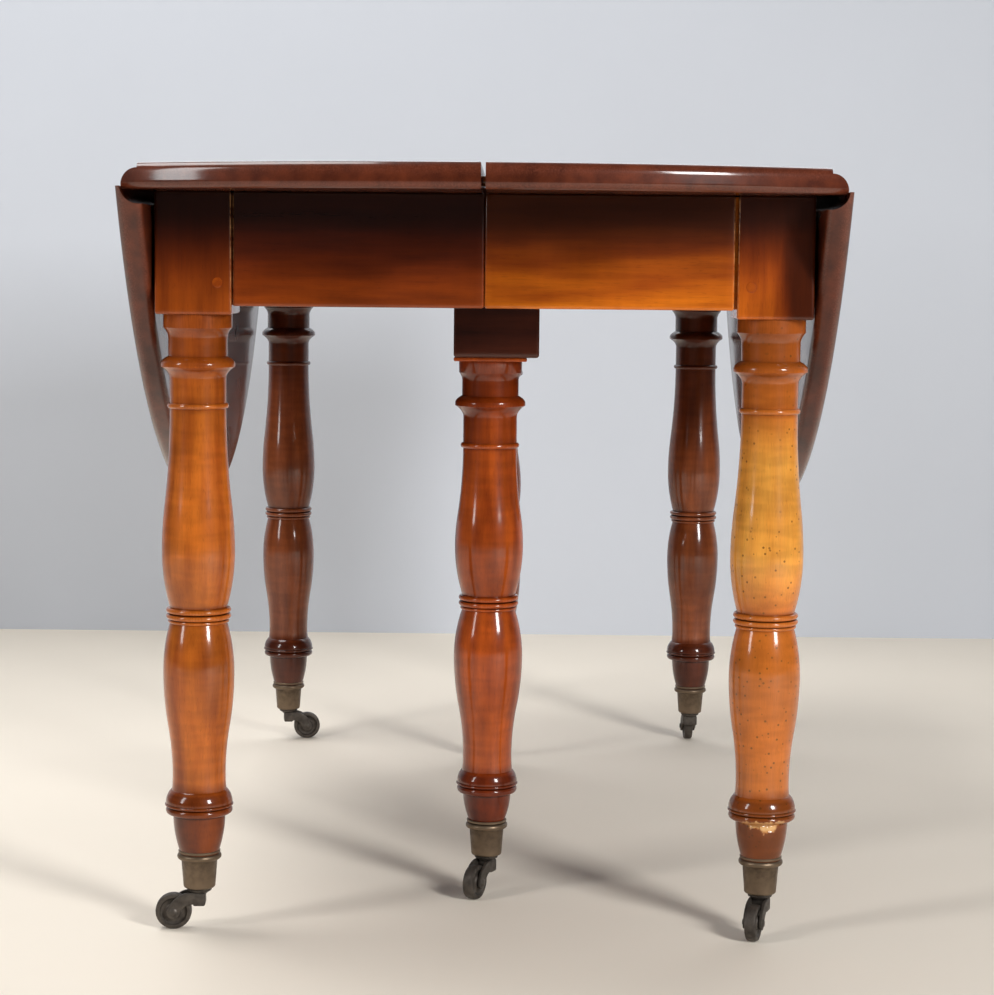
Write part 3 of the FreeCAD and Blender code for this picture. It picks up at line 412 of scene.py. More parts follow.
def hollows(profile, reach):
    """How deep each point of a profile lies in a groove, and how far it stands above what is near, in metres.
    A groove has crests on both sides, so the lower of the two counts for most."""
    radius, level = profile[:, 0], profile[:, 1]
    gap = level[None, :] - level[:, None]
    over = np.where((gap >= 0) & (gap < reach), radius[None, :], 0).max(axis=1)
    under = np.where((gap <= 0) & (gap > -reach), radius[None, :], 0).max(axis=1)
    crest = 0.7 * np.minimum(over, under) + 0.3 * np.maximum(over, under)
    near = np.abs(gap) < reach
    mean = (near * radius[None, :]).sum(axis=1) / near.sum(axis=1)
    return crest - radius, radius - mean


# Pieces


def make_piece(name, shells, coat, body, stands_for=(), sharp=40):
    """One mesh of several closed shells, set to ride on a body. A shell is its points, its quads and, where
    it has them, its marks: grime and painted shade, wear and painted highlight, and bare wood, from 0 to 1 at
    each point."""
    shells = [(*shell, {})[:3] for shell in shells]
    starts = np.cumsum([0] + [len(points) for points, _, _ in shells])
    mesh = bpy.data.meshes.new(name)
    mesh.from_pydata(
        np.concatenate([points for points, _, _ in shells]).tolist(),
        [],
        np.concatenate([quads + start for (_, quads, _), start in zip(shells, starts)]).tolist(),
    )
    for label in ("grime", "wear", "bare"):
        values = [marks.get(label, np.zeros(len(points))) for points, _, marks in shells]
        layer = mesh.attributes.new(label, "FLOAT", "POINT")
        layer.data.foreach_set("value", np.concatenate(values).astype(np.float32))
    weld = bmesh.new()
    weld.from_mesh(mesh)
    bmesh.ops.remove_doubles(weld, verts=weld.verts, dist=2e-6)
    weld.to_mesh(mesh)
    weld.free()
    mesh.shade_smooth()
    mesh.set_sharp_from_angle(angle=math.radians(sharp))
    mesh.materials.append(coat)
    piece = bpy.data.objects.new(name, mesh)
    bpy.context.scene.collection.objects.link(piece)
    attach(piece, body)
    if stands_for:
        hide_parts(*stands_for)


# Finishes


FINISHES = {}
RGB = {"data_type": "RGBA"}
TINT = {"data_type": "RGBA", "blend_type": "MULTIPLY"}
SOFT = {"interpolation_type": "SMOOTHSTEP"}
BARE_WOOD = "#d9ad74"
# Pattern of the wood, in millimetres across and along the grain, and its detail: streaks, fibres (drawn
# coarser than the real 0.3 mm, to show), pores, hand-size clouds, scuffs, and ripples across the grain.
WOOD_PATTERN = ((16, 140, 3), (1.6, 40, 2), (0.9, 9, 0), (70, 120, 2), (1.2, 14, 2), (34, 8, 1))
# Level of the bleached polish on the high vase, and where it starts and ends to deepen above and below.
BLEACHED_AT = 415 * MM
BLEACHED_FROM = 45 * MM
BLEACHED_TO = 95 * MM
# Distance between worm holes, between clouds of tarnish and between pits in the metal.
WORM_HOLES = 7 * MM
TARNISH = 7 * MM
PITS = 0.8 * MM


def add(tree, kind, settings=None, inputs=None):
    """Adds a shader node, sets what it is given, and links or fills its inputs."""
    made = tree.nodes.new(f"ShaderNode{kind}")
    for name, value in (settings or {}).items():
        setattr(made, name, value)
    for socket, value in (inputs or {}).items():
        if isinstance(value, bpy.types.NodeSocket):
            tree.links.new(value, made.inputs[socket])
        else:
            made.inputs[socket].default_value = value
    return made


def blank(name):
    """A new material with nothing in it but its shader: its node tree, and that shader."""
    made = FINISHES[name] = bpy.data.materials.new(name)
    made.use_nodes = True
    tree = made.node_tree
    tree.nodes.clear()
    shader = add(tree, "BsdfPrincipled")
    add(tree, "OutputMaterial", inputs={"Surface": shader.outputs[0]})
    return tree, shader


def old_fruitwood(name, wood, grain, seed, gloss=0.36, worm=0.0, fade=None, polish=0.8, curl=0.25):
    """Wax-polished fruitwood, turned or planed by hand. Broad soft streaks and fine fibres run along the
    grain, short dark pores lie in it, grime fills the hollows, painted shade darkens it under the top, and
    the high places have worn paler, with a painted highlight along the rims."""
    tree, shader = blank(name)
    light, dark = tone(wood), tone(f"{wood}_dark")
    ground = tone(fade) if fade else light
    place = add(tree, "TexCoord").outputs["Object"]
    axis = "xyz".index(grain)
    shift = (seed, seed * 1.7, seed * 0.6)
    noises = []
    for across, along, detail in WOOD_PATTERN:
        scale = [1 / (across * MM)] * 3
        scale[axis] = 1 / (along * MM)
        turned = add(tree, "Mapping", inputs={0: place, "Location": shift, "Scale": scale}).outputs[0]
        noise = add(tree, "TexNoise", inputs={0: turned, "Scale": 1.0, "Detail": detail})
        noises.append(noise.outputs["Fac"])
    streak, fibre, pore, cloud, scuff, ripple = noises
    spread = add(tree, "MapRange", inputs={0: streak, 1: 0.32, 2: 0.68}).outputs[0]
    figure = add(tree, "Mix", RGB, {0: spread, 6: (*dark, 1), 7: (*light, 1)}).outputs[2]
    if fade:
        # The polish has bleached on the high vase, and keeps its deeper tone above and below.
        height = add(tree, "SeparateXYZ", inputs={0: place}).outputs[2]
        apart = add(tree, "Math", {"operation": "SUBTRACT"}, {0: height, 1: BLEACHED_AT}).outputs[0]
        apart = add(tree, "Math", {"operation": "ABSOLUTE"}, {0: apart}).outputs[0]
        reach = {0: apart, 1: BLEACHED_FROM, 2: BLEACHED_TO, 4: 0.95}
        deeper = add(tree, "MapRange", inputs=reach).outputs[0]
        figure = add(tree, "Mix", RGB, {0: deeper, 6: figure, 7: (*ground, 1)}).outputs[2]
    # Fibres, clouds and ripples each shade the figure, between a darker and a lighter share of it.
    for noise, ease, darker, lighter, weight in (
        (fibre, {}, 0.94, 1.05, 1.0),
        (cloud, SOFT, 0.74, 1.12, 1.0),
        (ripple, SOFT, 0.89, 1.08, curl),
    ):
        shade = add(tree, "MapRange", ease, {0: noise, 1: 0.3, 2: 0.7, 3: darker, 4: lighter}).outputs[0]
        figure = add(tree, "Mix", TINT, {0: weight, 6: figure, 7: shade}).outputs[2]
    pores = add(tree, "MapRange", inputs={0: pore, 1: 0.68, 2: 0.76, 4: 0.2}).outputs[0]
    deep = tuple(0.25 * part for part in dark)
    figure = add(tree, "Mix", RGB, {0: pores, 6: figure, 7: (*deep, 1)}).outputs[2]
    if worm:
        # Worm holes about 2 mm across, in patches.
        spots = {0: place, "Scale": 1 / WORM_HOLES, "Randomness": 1.0}
        hole = add(tree, "TexVoronoi", inputs=spots).outputs["Distance"]
        speck = add(tree, "MapRange", inputs={0: hole, 1: 0.19, 2: 0.13, 4: worm}).outputs[0]
        patch = add(tree, "MapRange", inputs={0: cloud, 1: 0.34, 2: 0.46}).outputs[0]
        speck = add(tree, "Math", {"operation": "MULTIPLY"}, {0: speck, 1: patch}).outputs[0]
        figure = add(tree, "Mix", RGB, {0: speck, 6: figure, 7: (*deep, 1)}).outputs[2]
    # Wear, and on the rims a painted highlight, turn the wood paler.
    worn = add(tree, "Attribute", {"attribute_name": "wear"}).outputs["Fac"]
    scuffed = add(tree, "MapRange", inputs={0: scuff, 1: 0.42, 2: 0.68, 3: 0.25, 4: 0.85}).outputs[0]
    worn = add(tree, "Math", {"operation": "MULTIPLY"}, {0: worn, 1: scuffed}).outputs[0]
    pale = tuple(min(1.0, 1.35 * part + 0.015) for part in ground)
    figure = add(tree, "Mix", RGB, {0: worn, 6: figure, 7: (*pale, 1)}).outputs[2]
    grime = add(tree, "Attribute", {"attribute_name": "grime"}).outputs["Fac"]
    # Grime in the hollows and painted shade under the top both redden the wood, then darken it almost to
    # black.
    darkening_tint = add(tree, "Mix", RGB, {0: grime, 6: (1, 1, 1, 1), 7: (1, 0.62, 0.5, 1)}).outputs[2]
    figure = add(tree, "Mix", TINT, {0: 1.0, 6: figure, 7: darkening_tint}).outputs[2]
    shade_and_dirt_colour = tuple(0.05 * part for part in dark)
    figure = add(tree, "Mix", RGB, {0: grime, 6: figure, 7: (*shade_and_dirt_colour, 1)}).outputs[2]
    bare = add(tree, "Attribute", {"attribute_name": "bare"}).outputs["Fac"]
    figure = add(tree, "Mix", RGB, {0: bare, 6: figure, 7: (*linear(BARE_WOOD), 1)}).outputs[2]
    tree.links.new(figure, shader.inputs["Base Color"])
    rough = add(tree, "MapRange", SOFT, {0: cloud, 1: 0.3, 2: 0.7, 3: gloss - 0.06, 4: gloss + 0.1})
    tree.links.new(rough.outputs[0], shader.inputs["Roughness"])
    relief = add(tree, "Math", {"operation": "SUBTRACT"}, {0: fibre, 1: pores}).outputs[0]
    bump = add(tree, "Bump", inputs={"Strength": 0.14, "Distance": 0.2 * MM, "Height": relief})
    tree.links.new(bump.outputs[0], shader.inputs["Normal"])
    # Wax lies over the wood as a thin clear coat, so the wood itself has only a weak gleam of its own.
    shader.inputs["Specular IOR Level"].default_value = 0.08
    shader.inputs["Coat Weight"].default_value = polish
    shader.inputs["Coat Roughness"].default_value = 0.11


def old_metal(name, metal, metallic, gloss):
    """Metal handled and left to darken: tarnish lies over it in clouds, and rubbed places stay brighter."""
    tree, shader = blank(name)
    bright, tarnish = tone(metal), tone(f"{metal}_dark")
    place = add(tree, "TexCoord").outputs["Object"]
    cloud = add(tree, "TexNoise", inputs={0: place, "Scale": 1 / TARNISH, "Detail": 4.0}).outputs["Fac"]
    pits = add(tree, "TexNoise", inputs={0: place, "Scale": 1 / PITS, "Detail": 1.0}).outputs["Fac"]
    cover = add(tree, "MapRange", inputs={0: cloud, 1: 0.25, 2: 0.75}).outputs[0]
    face = add(tree, "Mix", RGB, {0: cover, 6: (*bright, 1), 7: (*tarnish, 1)}).outputs[2]
    worn = add(tree, "Attribute", {"attribute_name": "wear"}).outputs["Fac"]
    face = add(tree, "Mix", RGB, {0: worn, 6: face, 7: (*bright, 1)}).outputs[2]
    grime = add(tree, "Attribute", {"attribute_name": "grime"}).outputs["Fac"]
    shade_and_dirt_colour = tuple(0.2 * part for part in tarnish)
    face = add(tree, "Mix", RGB, {0: grime, 6: face, 7: (*shade_and_dirt_colour, 1)}).outputs[2]
    tree.links.new(face, shader.inputs["Base Color"])
    shader.inputs["Metallic"].default_value = metallic
    rough = add(tree, "MapRange", inputs={0: cloud, 1: 0.3, 2: 0.7, 3: gloss - 0.08, 4: gloss + 0.16})
    tree.links.new(rough.outputs[0], shader.inputs["Roughness"])
    bump = add(tree, "Bump", inputs={"Strength": 0.3, "Distance": 0.15 * MM, "Height": pits})
    tree.links.new(bump.outputs[0], shader.inputs["Normal"])


# Sizes and colours


# Turned sizes of a leg: label, what it is, and the corner and the centre legs' value in millimetres.
LEG_LENGTHS = {
    "foot": ("Foot radius", "Radius where the leg enters its brass cup", 19.6, 18.6),
    "foot_top": ("Foot top radius", "Radius at the top of the foot's taper", 25.2, 24.4),
    "foot_height": ("Foot height", "Height of the taper above the cup", 36.0, 28.5),
    "low_bead": ("Low bead height", "Height of the low bead, half the way to the low vase", 7.3, 7.6),
    "fillet": ("Fillet height", "Height of the fine bead beside the larger ones", 3.6, 3.6),
    "shoulder": ("Shoulder height", "Height of the round shoulder above the low fillet", 13.0, 12.0),
    "low_bead_base": ("Low bead base", "Radius between low bead and fillet", 28.8, 27.4),
    "low_bead_swell": ("Low bead swell", "How far the low bead stands out", 3.4, 3.3),
    "low_neck": ("Low neck radius", "Narrowest radius of the low vase", 25.6, 25.0),
    "low_belly": ("Low belly radius", "Widest radius of the low vase", 34.2, 35.0),
    "mid_bead": ("Mid bead height", "Height of each of the two mid beads", 7.6, 7.5),
    "mid_bead_base": ("Mid bead base", "Radius between the mid beads", 27.6, 27.0),
    "mid_bead_swell": ("Mid bead swell", "How far the mid beads stand out", 3.5, 3.4),
    "high_belly": ("High belly radius", "Widest radius of the high vase", 35.0, 34.7),
    "high_neck": ("High neck radius", "Narrowest radius of the high vase", 26.8, 27.2),
    "ring": ("Ring height", "Height of the ring below the collar", 5.4, 5.6),
    "ring_swell": ("Ring swell", "How far the ring stands out", 2.4, 2.5),
    "ring_drop": ("Ring drop", "Ring's level below the square top", 90.0, 88.5),
    "waist_drop": ("Waist drop", "Waist's level below the square top", 61.0, 57.0),
    "collar": ("Collar radius", "Radius of the collar", 35.3, 35.6),
    "collar_drop": ("Collar drop", "Collar's level below the square top", 50.0, 45.5),
    "collar_band": ("Collar band", "Height of the collar's upright band", 2.6, 2.6),
    "collar_dome": ("Collar dome", "Height of the collar's rounded top", 7.4, 7.4),
    "throat": ("Throat radius", "Radius between collar and disc", 28.0, 28.6),
    "throat_drop": ("Throat drop", "Throat's level below the square top", 23.0, 20.5),
    "disc": ("Disc radius", "Radius of the disc under the square top", 32.7, 31.9),
    "disc_drop": ("Disc drop", "Height of the disc under the square top", 13.0, 12.0),
}
# Shares that place and bend the two vases, in the same order.
LEG_SHARES = {
    "low_share": ("Low vase share", "Low vase's share of both vases", 0.474, 0.537),
    "low_neck_share": ("Low neck share", "Low neck's place up its vase", 0.133, 0.137),
    "low_belly_share": ("Low belly share", "Low belly's place up its vase", 0.72, 0.724),
    "low_turn": ("Low turn", "Where the low vase's curve turns over", 0.475, 0.49),
    "high_belly_share": ("High belly share", "High belly's place up its vase", 0.277, 0.333),
    "high_turn": ("High turn", "Where the high vase's curve turns over", 0.33, 0.31),
}


def leg_sizes(column):
    """Properties of a leg's sizes, from one column of the two tables."""
    made = {name: length(label, sizes[column], text) for name, (label, text, *sizes) in LEG_LENGTHS.items()}
    for name, (label, text, *shares) in LEG_SHARES.items():
        made[name] = FloatProperty(name=label, description=text, default=shares[column])
    return made


class CornerLegSizes(PropertyGroup):
    """Turning of the four corner legs."""

    __annotations__ = leg_sizes(0)


class CentreLegSizes(PropertyGroup):
    """Turning of the two centre legs, which are a little shorter."""

    __annotations__ = leg_sizes(1)


class BoardSizes(PropertyGroup):
    """Tops, leaves, aprons and blocks."""

    rim_low: length("Lower rim rounding", 7.0, "Radius of the rim's lower edge")
    rim_high: length("Upper rim rounding", 9.0, "Radius of the rim's upper edge")
    seam_ease: length("Seam ease", 1.2, "Rounding of the edges at the seam")
    moulding: length("Rule joint", 16.0, "Radius of the rule joint's round")
    joint_gap: length("Joint gap", 0.5, "Clearance between a leaf and the rule joint")
    arris: length("Worn arris", 2.4, "Rounding of the blocks' and aprons' edges")
    block: length("Block height", 115.0, "Height of the square block on a corner leg")
    plate: length("Plate thickness", 4.0, "Thickness of the square plate on a centre leg")
    bearer_arris: length("Bearer arris", 3.0, "Rounding of the bearer's edges")
    left_shoulder: length("Left shoulder gap", 0.7, "Open joint between a left block and its apron")
    right_shoulder: length("Right shoulder gap", 2.6, "Open joint between a right block and its apron")


class CasterSizes(PropertyGroup):
    """Brass cups, forks and wheels."""

    wheel: length("Wheel radius", 17.5, "Radius of a caster's wheel")
    wheel_width: length("Wheel width", 11.0, "Width of a wheel over its rim and hub")
    trail: length("Trail", 25.0, "How far a wheel stands behind its pintle")
    cheek_in: length("Fork slot", 6.1, "Half width between the fork's cheeks")
    cheek_out: length("Fork width", 9.5, "Half width over the fork's cheeks")
    eye: length("Fork eye", 6.5, "Radius of the fork's eye round the axle")
    crown: length("Crown level", 40.7, "Level of the fork's top, below the cup")


# Light and dark tone of each wood and metal, and where it is found.
TONES = {
    "amber": ("#c46a20", "#984812", "the left front leg"),
    "honey": ("#efa848", "#dc9038", "the right front leg"),
    "russet": ("#b45116", "#7c2f09", "the centre legs"),
    "umber": ("#8e4a26", "#683014", "the back legs and blocks"),
    "top": ("#5e2914", "#40180a", "the top and leaves"),
    "apron": ("#8a3b08", "#632604", "the left end aprons and the side aprons"),
    # Paler, lit copy of the apron tone: a painted pool of light on the right aprons.
    "pale_apron": ("#d0700f", "#a04a08", "the right end aprons"),
    "block": ("#92420b", "#6e2c05", "the left front block"),
    # Paler, lit copy of the block tone: painted light on the right front block; the pegs take it as their own
    # tone.
    "pale_block": ("#bc5c0e", "#8e3d08", "the right front block and the pegs"),
    "bearer": ("#4c2010", "#34130a", "the bearer and slides"),
    "brass": ("#7a6854", "#504236", "the brass cups"),
    "wheel": ("#5d564f", "#3c3631", "the wheels and forks"),
    "iron": ("#6b6762", "#332b26", "the hinges"),
}
PLAIN_TONES = {
    "deep_honey": ("#be6622", "Tone of the right front leg above and below its bleached vase"),
    "floor": ("#f8eede", "Plain floor"),
    "wall": ("#d2d7e0", "Plain backdrop"),
}


def tone_pickers():
    """Properties of the colours, from the two tables."""
    made = {}
    for name, (light, dark, place) in TONES.items():
        label = name.replace("_", " ").capitalize()
        made[name] = colour(label, light, f"Light tone of {place}")
        made[f"{name}_dark"] = colour(f"{label} dark", dark, f"Dark tone of {place}")
    for name, (code, text) in PLAIN_TONES.items():
        made[name] = colour(name.replace("_", " ").capitalize(), code, text)
    return made


class TableColours(PropertyGroup):
    """Woods, metals and stage."""

    __annotations__ = tone_pickers()


class TableSettings(PropertyGroup):
    """Everything that a user would change."""

    corner_leg: PointerProperty(type=CornerLegSizes)
    centre_leg: PointerProperty(type=CentreLegSizes)
    boards: PointerProperty(type=BoardSizes)
    casters: PointerProperty(type=CasterSizes)
    colours: PointerProperty(type=TableColours)


def settings():
    """The table's settings in this scene."""
    return bpy.context.scene.table_settings


def tone(name):
    """One of the table's colours in this scene."""
    return tuple(getattr(settings().colours, name))


def finish(name):
    """A finish made by the operator for finishes."""
    return FINISHES[name]


# Operators


# Woods: finish, tones, grain, seed of its pattern, and what sets it apart.
WOODS = (
    ("amber_fruitwood", "amber", "z", 1.3, {"curl": 1.0}),
    ("honey_fruitwood", "honey", "z", 4.7, {"curl": 1.0, "worm": 0.9, "fade": "deep_honey"}),
    ("russet_fruitwood", "russet", "z", 7.9, {"curl": 1.0}),
    ("umber_fruitwood", "umber", "z", 2.2, {"curl": 1.0}),
    ("waxed_top", "top", "y", 5.1, {}),
    ("apron_fruitwood", "apron", "x", 3.4, {}),
    # Lit copy of the apron wood: painted light on the right aprons.
    ("pale_apron_fruitwood", "pale_apron", "x", 4.4, {}),
    ("side_apron_fruitwood", "apron", "y", 6.2, {}),
    ("oiled_slide_wood", "bearer", "x", 9.3, {"gloss": 0.5, "polish": 0.2}),
    ("dark_bearer_wood", "bearer", "x", 8.8, {}),
    ("block_fruitwood", "block", "z", 3.7, {}),
    # Lit copy of the block wood: painted light on the right front block.
    ("pale_block_fruitwood", "pale_block", "z", 5.6, {}),
    ("end_grain_peg", "pale_block", "y", 2.9, {}),
)
# Metals: finish, tones, metallic share and roughness.
METALS = (
    ("tarnished_brass", "brass", 0.7, 0.42),
    ("dull_wheel_brass", "wheel", 0.6, 0.5),
    ("dark_iron", "iron", 0.75, 0.5),
)
# Finish of the frame's own nodes, by the start of their names.
NODE_FINISHES = {
    "waxed_top": ("top", "drop_leaf"),
    "end_grain_peg": ("align_dowels", "tenon_pegs"),
    "side_apron_fruitwood": ("side_apron",),
    "apron_fruitwood": ("end_apron",),
    "oiled_slide_wood": ("loper", "mid_slides", "outer_slides", "centre_slides"),
    "dark_bearer_wood": ("cross_bearer",),
    "amber_fruitwood": ("leg_front",),
    "umber_fruitwood": ("leg_back",),
    "russet_fruitwood": ("leg_centre",),
    "tarnished_brass": ("caster",),
    "dark_iron": ("hinge",),
}


class TABLE_OT_finishes(Operator):
    """Make the woods and metals and give the frame's own nodes theirs"""

    bl_idname = "table.finishes"
    bl_label = "Finishes"

    def execute(self, context):
        for name, wood, grain, seed, apart in WOODS:
            old_fruitwood(name, wood, grain, seed, **apart)
        for name, metal, metallic, rough in METALS:
            old_metal(name, metal, metallic, rough)
        for name, node in frame["nodes"].items():
            made = finish(next(coat for coat, starts in NODE_FINISHES.items() if name.startswith(starts)))
            node.data.materials.clear()
            node.data.materials.append(made)
        return {"FINISHED"}


class TABLE_OT_legs(Operator):
    """Turn the six legs smooth, with the worn blocks and plates at their tops"""

    bl_idname = "table.legs"
    bl_label = "Legs"

    def execute(self, context):
        boards = settings().boards
        woods = {"front_left": "amber", "front_right": "honey", "back_left": "umber", "back_right": "umber"}
        for end, side in CORNERS:
            node = f"leg_{end}_{side}"
            low, high = span(node)
            middle = (low + high) / 2
            low[2] = high[2] - boards.block
            chips = CHIPS if node == "leg_front_right" else ()
            shaft = self.shaft(settings().corner_leg, f"caster_cups_{side}", low[2], chips)
            if end == "back":
                # Painted shade: the back legs darken towards the top, where the table shades them.
                back_shade = 0.65 * np.clip((shaft[0][:, 2] - BACK_SHADE_FROM) / BACK_SHADE_RISE, 0, 1)
                shaft[2]["grime"] = np.maximum(shaft[2]["grime"], back_shade)
            wood = woods[f"{end}_{side}"] + "_fruitwood"
            parts = [(standing(shaft[0], *middle[:2]), *shaft[1:])]
            make_piece(f"turned_leg_{end}_{side}", parts, finish(wood), f"{side}_half", [node])
            points, quads = soft_box(low, high, boards.arris, MARKED_STEPS)
            joint = high[0] if side == "left" else low[0]
            # Painted shade under the top, real wear on the arrises and bare wood at the open joint.
            marks = handled(points, low, high, BLOCK_SHADE_REACH, joint)
            wood = "block_fruitwood" if end == "front" else "umber_fruitwood"
            if node == "leg_front_right":
                # Painted light and shadow: this block takes the lit copy of the block wood, and a painted
                # shadow of the hanging leaf darkens its outer side, wider towards the top.
                wood = "pale_block_fruitwood"
                across, up = ((points - low) / (high - low)).T[[0, 2]]
                leaf_shadow = np.clip((across - 0.45 + 0.25 * up) / 0.34, 0, 1)
                marks["grime"] = np.maximum(marks["grime"], 0.88 * leaf_shadow * leaf_shadow * (3 - 2 * leaf_shadow))
            block = [(points, quads, marks)]
            make_piece(f"leg_block_{end}_{side}", block, finish(wood), f"{side}_half")
        for end in ENDS:
            node = f"leg_centre_{end}"
            low, high = span(node)
            middle = (low + high) / 2
            high[2] = span("cross_bearer")[0][2]
            low[2] = high[2] - boards.plate
            shaft = self.shaft(settings().centre_leg, "caster_cups_centre", low[2])
            parts = [(standing(shaft[0], *middle[:2]), *shaft[1:]), soft_box(low, high, PLATE_ARRIS)]
            wood = finish("russet_fruitwood")
            make_piece(f"turned_leg_centre_{end}", parts, wood, "centre_frame", [node])
        return {"FINISHED"}

    @staticmethod
    def shaft(leg, cups, top, chips=()):
        """Turned part of a leg with its grime in the hollows, a stain on its shoulder, a painted shade
        deepening towards its head, and wear on the crests. A chip is an oval of bare wood, sunk by the square
        root of its depth of cover: sqrt(1 - (a / w)^2 - (z / h)^2)."""
        profile = turning(leg, span(cups)[1][2], top)
        points, quads = lathe(profile[:, 0], profile[:, 1], LEG_TURNS)
        depth, proud = hollows(profile, 2.6 * MM)
        grime = np.clip((depth - 0.3 * MM) / (1.5 * MM), 0, 0.85)
        foot = span(cups)[1][2] + leg.foot_height
        above = (profile[:, 1] - foot - leg.low_bead - leg.fillet) / leg.shoulder
        # Painted shade under the block: the turning darkens towards its head. The shoulder above the low
        # beads keeps a real stain.
        head_shade = (profile[:, 1] - top + 90 * MM) / (60 * MM)
        stain_and_head_shade = np.maximum(0.68 * np.clip(1.7 - above, 0, 1), 0.5 * np.clip(head_shade, 0, 1))
        grime = np.repeat(np.maximum(grime, stain_and_head_shade), LEG_TURNS)
        wear = np.repeat(np.clip(proud / (1.8 * MM), 0, 0.5), LEG_TURNS)
        bare = np.zeros(len(points))
        radius = np.hypot(points[:, 0], points[:, 1])
        for degrees, drop, width, height in chips:
            turn = np.arctan2(points[:, 1], points[:, 0]) - math.radians(degrees)
            ragged = 1.3 + 0.5 * np.sin(17 * turn + 1) + 0.4 * np.sin(41 * turn + 900 * points[:, 2])
            cover = 1 - (radius * turn / width) ** 2 - ((points[:, 2] - foot + drop) / height) ** 2 * ragged
            sunk = np.sqrt(np.clip(cover, 0, 1))
            points[:, :2] *= (1 - 1.2 * MM * sunk / np.maximum(radius, 1 * MM))[:, None]
            bare = np.maximum(bare, np.clip(1.6 * sunk, 0, 1))
        fleck = 0.75 + 0.25 * np.sin(700 * points[:, 2])
        return points, quads, {"grime": grime * (1 - bare), "wear": wear, "bare": bare * fleck}


class TABLE_OT_boards(Operator):
    """Cut the two halves of the top and the two hanging leaves with their round rims"""

    bl_idname = "table.boards"
    bl_label = "Top and leaves"

    def execute(self, context):
        boards = settings().boards
        for name, node, carrier, made in (
            ("half_top", "top", "half", half_top(boards)),
            ("hung_leaf", "drop_leaf", "leaf", hung_leaf(boards)),
        ):
            for side, sign in SIDES.items():
                part = [(half_turn(made[0], sign), *made[1:])]
                wood = finish("waxed_top")
                make_piece(f"{name}_{side}", part, wood, f"{side}_{carrier}", [f"{node}_{side}"], 30)
        return {"FINISHED"}


class TABLE_OT_aprons(Operator):
    """Set the end aprons and the bearer with worn edges"""

    bl_idname = "table.aprons"
    bl_label = "Aprons and bearer"

    def execute(self, context):
        boards = settings().boards
        for end, side in CORNERS:
            node = f"end_apron_{end}_{side}"
            low, high = span(node)
            leg_low, leg_high = span(f"leg_{end}_{side}")
            tenon = soft_box(low + (0, 5 * MM, 1 * MM), high - (0, 5 * MM, 1 * MM), 1 * MM, 3)
            # The shoulders have shrunk back from the blocks: a hair on the left, more on the right.
            if side == "left":
                low[0] = leg_high[0] + boards.left_shoulder
            else:
                high[0] = leg_low[0] - boards.right_shoulder
            board = soft_box(low, high, boards.arris, MARKED_STEPS)
            joint = low[0] if side == "left" else high[0]
            # Painted shade of the overhanging top darkens each apron from above.
            parts = [(*board, handled(board[0], low, high, APRON_SHADE_REACH[side], joint)), tenon]
            # Painted light: the right aprons take the paler, lit copy of the apron wood.
            wood = finish("pale_apron_fruitwood" if side == "right" else "apron_fruitwood")
            make_piece(f"apron_{end}_{side}", parts, wood, f"{side}_half", [node])
        low, high = span("cross_bearer")
        points, quads = soft_box(low, high, boards.bearer_arris, 20)
        # Painted shade of the top darkens the bearer from above.
        beam = [(points, quads, handled(points, low, high, BEARER_SHADE_REACH))]
        wood = finish("dark_bearer_wood")
        make_piece("bearer", beam, wood, "centre_frame", ["cross_bearer"])
        return {"FINISHED"}


